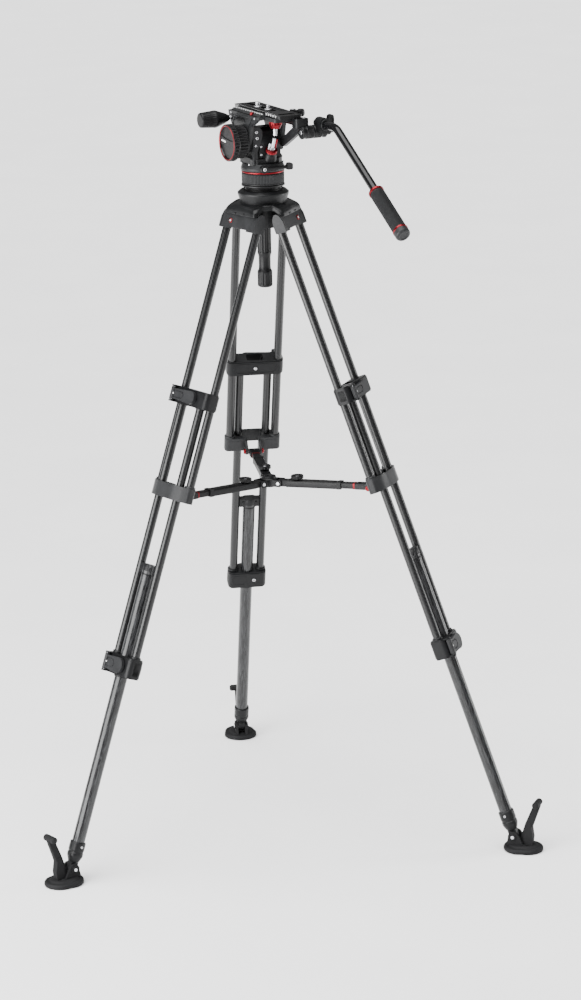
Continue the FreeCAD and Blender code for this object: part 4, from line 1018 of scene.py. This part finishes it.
piece("tilt_lever", [spun([(10.6, 37.6), (11, 38.4), (11, 45), (9.6, 46.4)], 0.8, DIAL, "x", 56),
    bar(tl, [5.6, 5.2, 6, 8], [10.4, 8, 8.6, 10.6], (0, 0, 1)),
    spun([(4.9, 39.2), (5.5, 40), (5.5, 50), (4.7, 51)], 1, (0, 37.5, TZ), "x", 48)], H, "tilt_lock_lever",
    BLACK, 0.6, 3, hides=["tilt_lock_lever"])
piece("tilt_lever_screw", [screw((46, 0, TZ), "x", 4, 1.2)], H, "tilt_lock_lever", METAL, 0.1)

# rear bracket and the toothed joint for the pan bar
bracket = rounded([(8, -136), (36, -136), (36, -116), (31, -112), (13, -112),
    (8, -116)], [5, 5, 3, 3, 3, 3], 5)
shapes = [slab(bracket, "xy", 1474.4, DECK), slab(rrect(14.2, 27.8, -130, -66, 2), "xy", 1476.4, 1483.8),
    lathe(turned([(0, 18), (12.2, 18), (13.2, 19), (13.2, 22), (12.4, 23), (12.4, 27), (13.2, 28)], 0.5) +
    [(13.2, 29, 1), (13.2, 40.4, 1), (13.2, 41), (12.6, 43.9), (0, 43.9)], ROSETTE, "x",
    180, ribs=30, depth=0.7)]
piece("rear_block", shapes, H, "tilt_carriage", CASTING, 0.8, 3, hides=["rear_bracket"])
piece("rosette_cap", [spun([(4.2, 17.4), (4.6, 17.8), (4.6, 19)], 0.3, ROSETTE, "x", 48)], H,
    "tilt_carriage", METAL, 0)
piece("rear_screws", [screw((x, -124, 1491.2), "z", 2.3, 1.2) for x in (14, 30)], H,
    "tilt_carriage", METAL, 0.1)
BX, BZ = 60, RZ + 15
bore = disc(BX, BZ, 8.3, 40)
arch = rounded([(48.8, RZ - 2), (71.2, RZ - 2), (71.4, BZ + 4), (66, BZ + 12.8), (54, BZ + 12.8),
    (48.6, BZ + 4)], [2, 2, 6, 8, 8, 6], 7)
shapes = [lathe([(0, 44.5), (12.6, 44.5), (13.2, 45.4), (13.2, 46.4), (13.2, 47.2, 1), (13.2, 58, 1),
    (13.2, 59), (12.2, 60.4), (12.2, 64), (13.2, 65.4), (13.2, 70.4), (12.4, 71.3), (0, 71.3)], ROSETTE, "x",
    180, ribs=30, depth=0.7), slab(arch, "xz", -157.6, -130.4, holes=[bore]),
    spun([(10.6, 0), (11.2, 0.8), (11.2, 4.4)], 0.4, (BX, -162, BZ), "y", 56, bore=8.3),
    block(58, 62, -155, -133, BZ + 10, BZ + 13, 1.2, "xy")]
piece("bar_clamp", shapes, H, "pan_bar", CASTING, 0.8, 3, hides=["pan_bar_clamp"])
piece("bar_clamp_screws", [screw((71, y, BZ - 6), "x", 2.2, 1.2) for y in (-152, -137)],
    H, "pan_bar", METAL, 0.1)

fall = math.radians(32)
run_dir, level = Vector((0, -cos(fall), -sin(fall))), Vector((0, -1, 0))
corner, bend_r = Vector((BX, -203, BZ)), 45
tan_len = bend_r * math.tan(fall / 2)
bend_start = corner - level * tan_len
centre = bend_start + Vector((0, 0, -bend_r))
path = [Vector((BX, RY + 12, BZ)), bend_start - level * 12]
path += [centre + Vector((0, -sin(t), cos(t))) * bend_r for t in (fall * k / 14 for k in range(15))]
path += [corner + run_dir * s for s in (40, 90, 140, 190, 204)]
piece("bent_bar", [sweep(path, 8.1, 64)], H, "pan_bar", ("gloss_black", GLOSS), 0.8, hides=["pan_bar_tube"])
piece("bar_end_plug", [spun([(7, -1.6), (8, -0.6), (8, 2)], 0.6, (BX, RY + 12, BZ), "-y", 48)], H, "pan_bar",
    ("gloss_black", PLASTIC), 0)

ribs_profile = [(8.4, 196.5), (13.2, 196.5)]
s = 197.6
while s < 297.5:
    ribs_profile += [(13.5, s), (14.4, s + 0.5), (14.4, s + 1.5), (13.5, s + 2)]
    s += 2.5
ribs_profile += [(13.2, 299), (8.4, 299)]
collar = turned([(8.4, 188.4), (14.4, 188.4), (15.3, 189.2), (15.3, 193.2), (14.6, 194), (8.4, 194)], 0.5)
collar_b = turned([(8.4, 300), (14.6, 300), (15.3, 300.8), (15.3, 304.2), (14.6, 305), (8.4, 305)], 0.5)
cap = turned([(0, 304), (14.7, 304), (14.8, 305.4), (14.8, 313.6), (13.4, 316.6), (9.4, 317.8),
    (8.4, 316.6), (0, 316.4)], 1)
piece("grip_sleeve", [lathe(ribs_profile, corner, run_dir, 72),
    lathe([(8.3, 193.8), (13.4, 193.8), (13.6, 196.8), (8.3, 196.8)], corner, run_dir, 72)], H, "pan_bar",
    ("grip", GRIP), 0, hides=["pan_bar_grip"])
piece("grip_rings", [lathe(collar, corner, run_dir, 80), lathe(collar_b, corner, run_dir, 80)], H,
    "pan_bar", ANODISED, 0)
piece("grip_end_cap", [lathe(cap, corner, run_dir, 80), lathe([(8.2, 187.2), (11.2, 187.4), (12, 189),
    (8.2, 189)], corner, run_dir, 64)], H, "pan_bar", ("grip", GREY), 0)

wing = rounded([(76.6, RZ - 4.8), (88, RZ - 4.8), (89.4, RZ + 4), (89.8, RZ + 22), (88.6, RZ + 30.8),
    (78, RZ + 30.8), (76.4, RZ + 22), (77.4, RZ + 8)], [3, 4, 8, 8, 6, 6, 8, 8], 6)
dent = [(83.2 + (u - 83.2) * 0.56, RZ + 15 + (v - RZ - 15) * 0.62) for u, v in wing]
piece("wing_lever", [lathe([(0, 72), (8.2, 72), (9, 73), (9, 74, 1), (9, 79.6, 1), (9, 80.4), (8, 81.8),
    (0, 81.8)], ROSETTE, "x", 90, ribs=15, depth=0.8), slab(wing, "xz", RY - 3.4, RY + 3.4),
    slab(wing, "xz", RY - 4.5, RY + 4.5, holes=[dent])], H, "wing_knob", BLACK, 1, 3, hides=["wing_knob"])
piece("wing_screw", [rod(2.6, 86, 88.6, 0.3, ROSETTE, "x", 28)], H, "wing_knob", METAL, 0)


# ---------------------------------------------------------------- floor, light and camera
floor = bpy.data.meshes.new("floor")
WIDE, UNDER = 60, -0.0006
floor.from_pydata([(-WIDE, -WIDE, UNDER), (WIDE, -WIDE, UNDER), (WIDE, WIDE, UNDER),
    (-WIDE, WIDE, UNDER)], [], [(0, 1, 2, 3)])
paper = Nodes("studio_paper")
cloudy = paper.noise(paper.coords(), 3.0, 4.0)
floor.materials.append(paper.shade(Base_Color=paper.blend(paper.span(cloudy, 0.0, 1.0), (0.86, 0.86, 0.865),
    (0.89, 0.89, 0.89)), Roughness=paper.span(cloudy, 0.85, 0.95)))
ground = bpy.data.objects.new("floor", floor)
bpy.context.scene.collection.objects.link(ground)

world = bpy.data.worlds.new("studio")
world.use_nodes = True
background = world.node_tree.nodes["Background"].inputs
background[0].default_value, background[1].default_value = (1.0, 1.0, 1.0, 1), 0.26
bpy.context.scene.world = world


def lamp(name, kind, at, aim, energy, **more):
    data = bpy.data.lights.new(name, kind)
    data.energy = energy
    for key, value in more.items():
        setattr(data, key, value)
    obj = bpy.data.objects.new(name, data)
    obj.location = at
    obj.rotation_euler = (Vector(aim) - Vector(at)).to_track_quat("-Z", "Y").to_euler()
    bpy.context.scene.collection.objects.link(obj)


lamp("overhead", "SUN", (-2, -1.5, 8), (0, 0.4, 0), 7.6, angle=math.radians(70))
lamp("left_box", "AREA", (-2.5, -1.5, 1.0), (0, 0, 0.9), 170, shape="RECTANGLE", size=2.4, size_y=1.9)
lamp("right_box", "AREA", (2.7, -0.1, 1.0), (0, 0, 0.9), 40, shape="RECTANGLE", size=0.5, size_y=1.9)

# the photograph's viewpoint: how far round the tripod it stands, its distance and height in metres, and the
# height of the film behind its lens in millimetres
AROUND, AWAY, HIGH, SHEET = math.radians(8.16), 6.574, 2.505, 24
FOCAL = 3.3409 * SHEET
spin = Matrix.Rotation(-AROUND, 3, "Z")
yaw, pitch, roll = (math.radians(a) for a in (-0.372, -15.412, -1.072))
swivel = Matrix.Rotation(yaw, 3, "Z")
look = swivel @ Vector((0, cos(pitch), sin(pitch)))
side = swivel @ Vector((1, 0, 0))
over = side.cross(look)
right = cos(roll) * side + sin(roll) * over
up = cos(roll) * over - sin(roll) * side
view = (spin @ Matrix((right, up, -look)).transposed()).to_4x4()
view.translation = spin @ Vector((0, -AWAY, HIGH)) + PAN
camera = bpy.data.cameras.new("camera")
camera.sensor_fit, camera.sensor_height, camera.lens = "VERTICAL", SHEET, FOCAL
camera.clip_end = 200
eye = bpy.data.objects.new("camera", camera)
eye.matrix_world = view
bpy.context.scene.collection.objects.link(eye)
bpy.context.scene.camera = eye
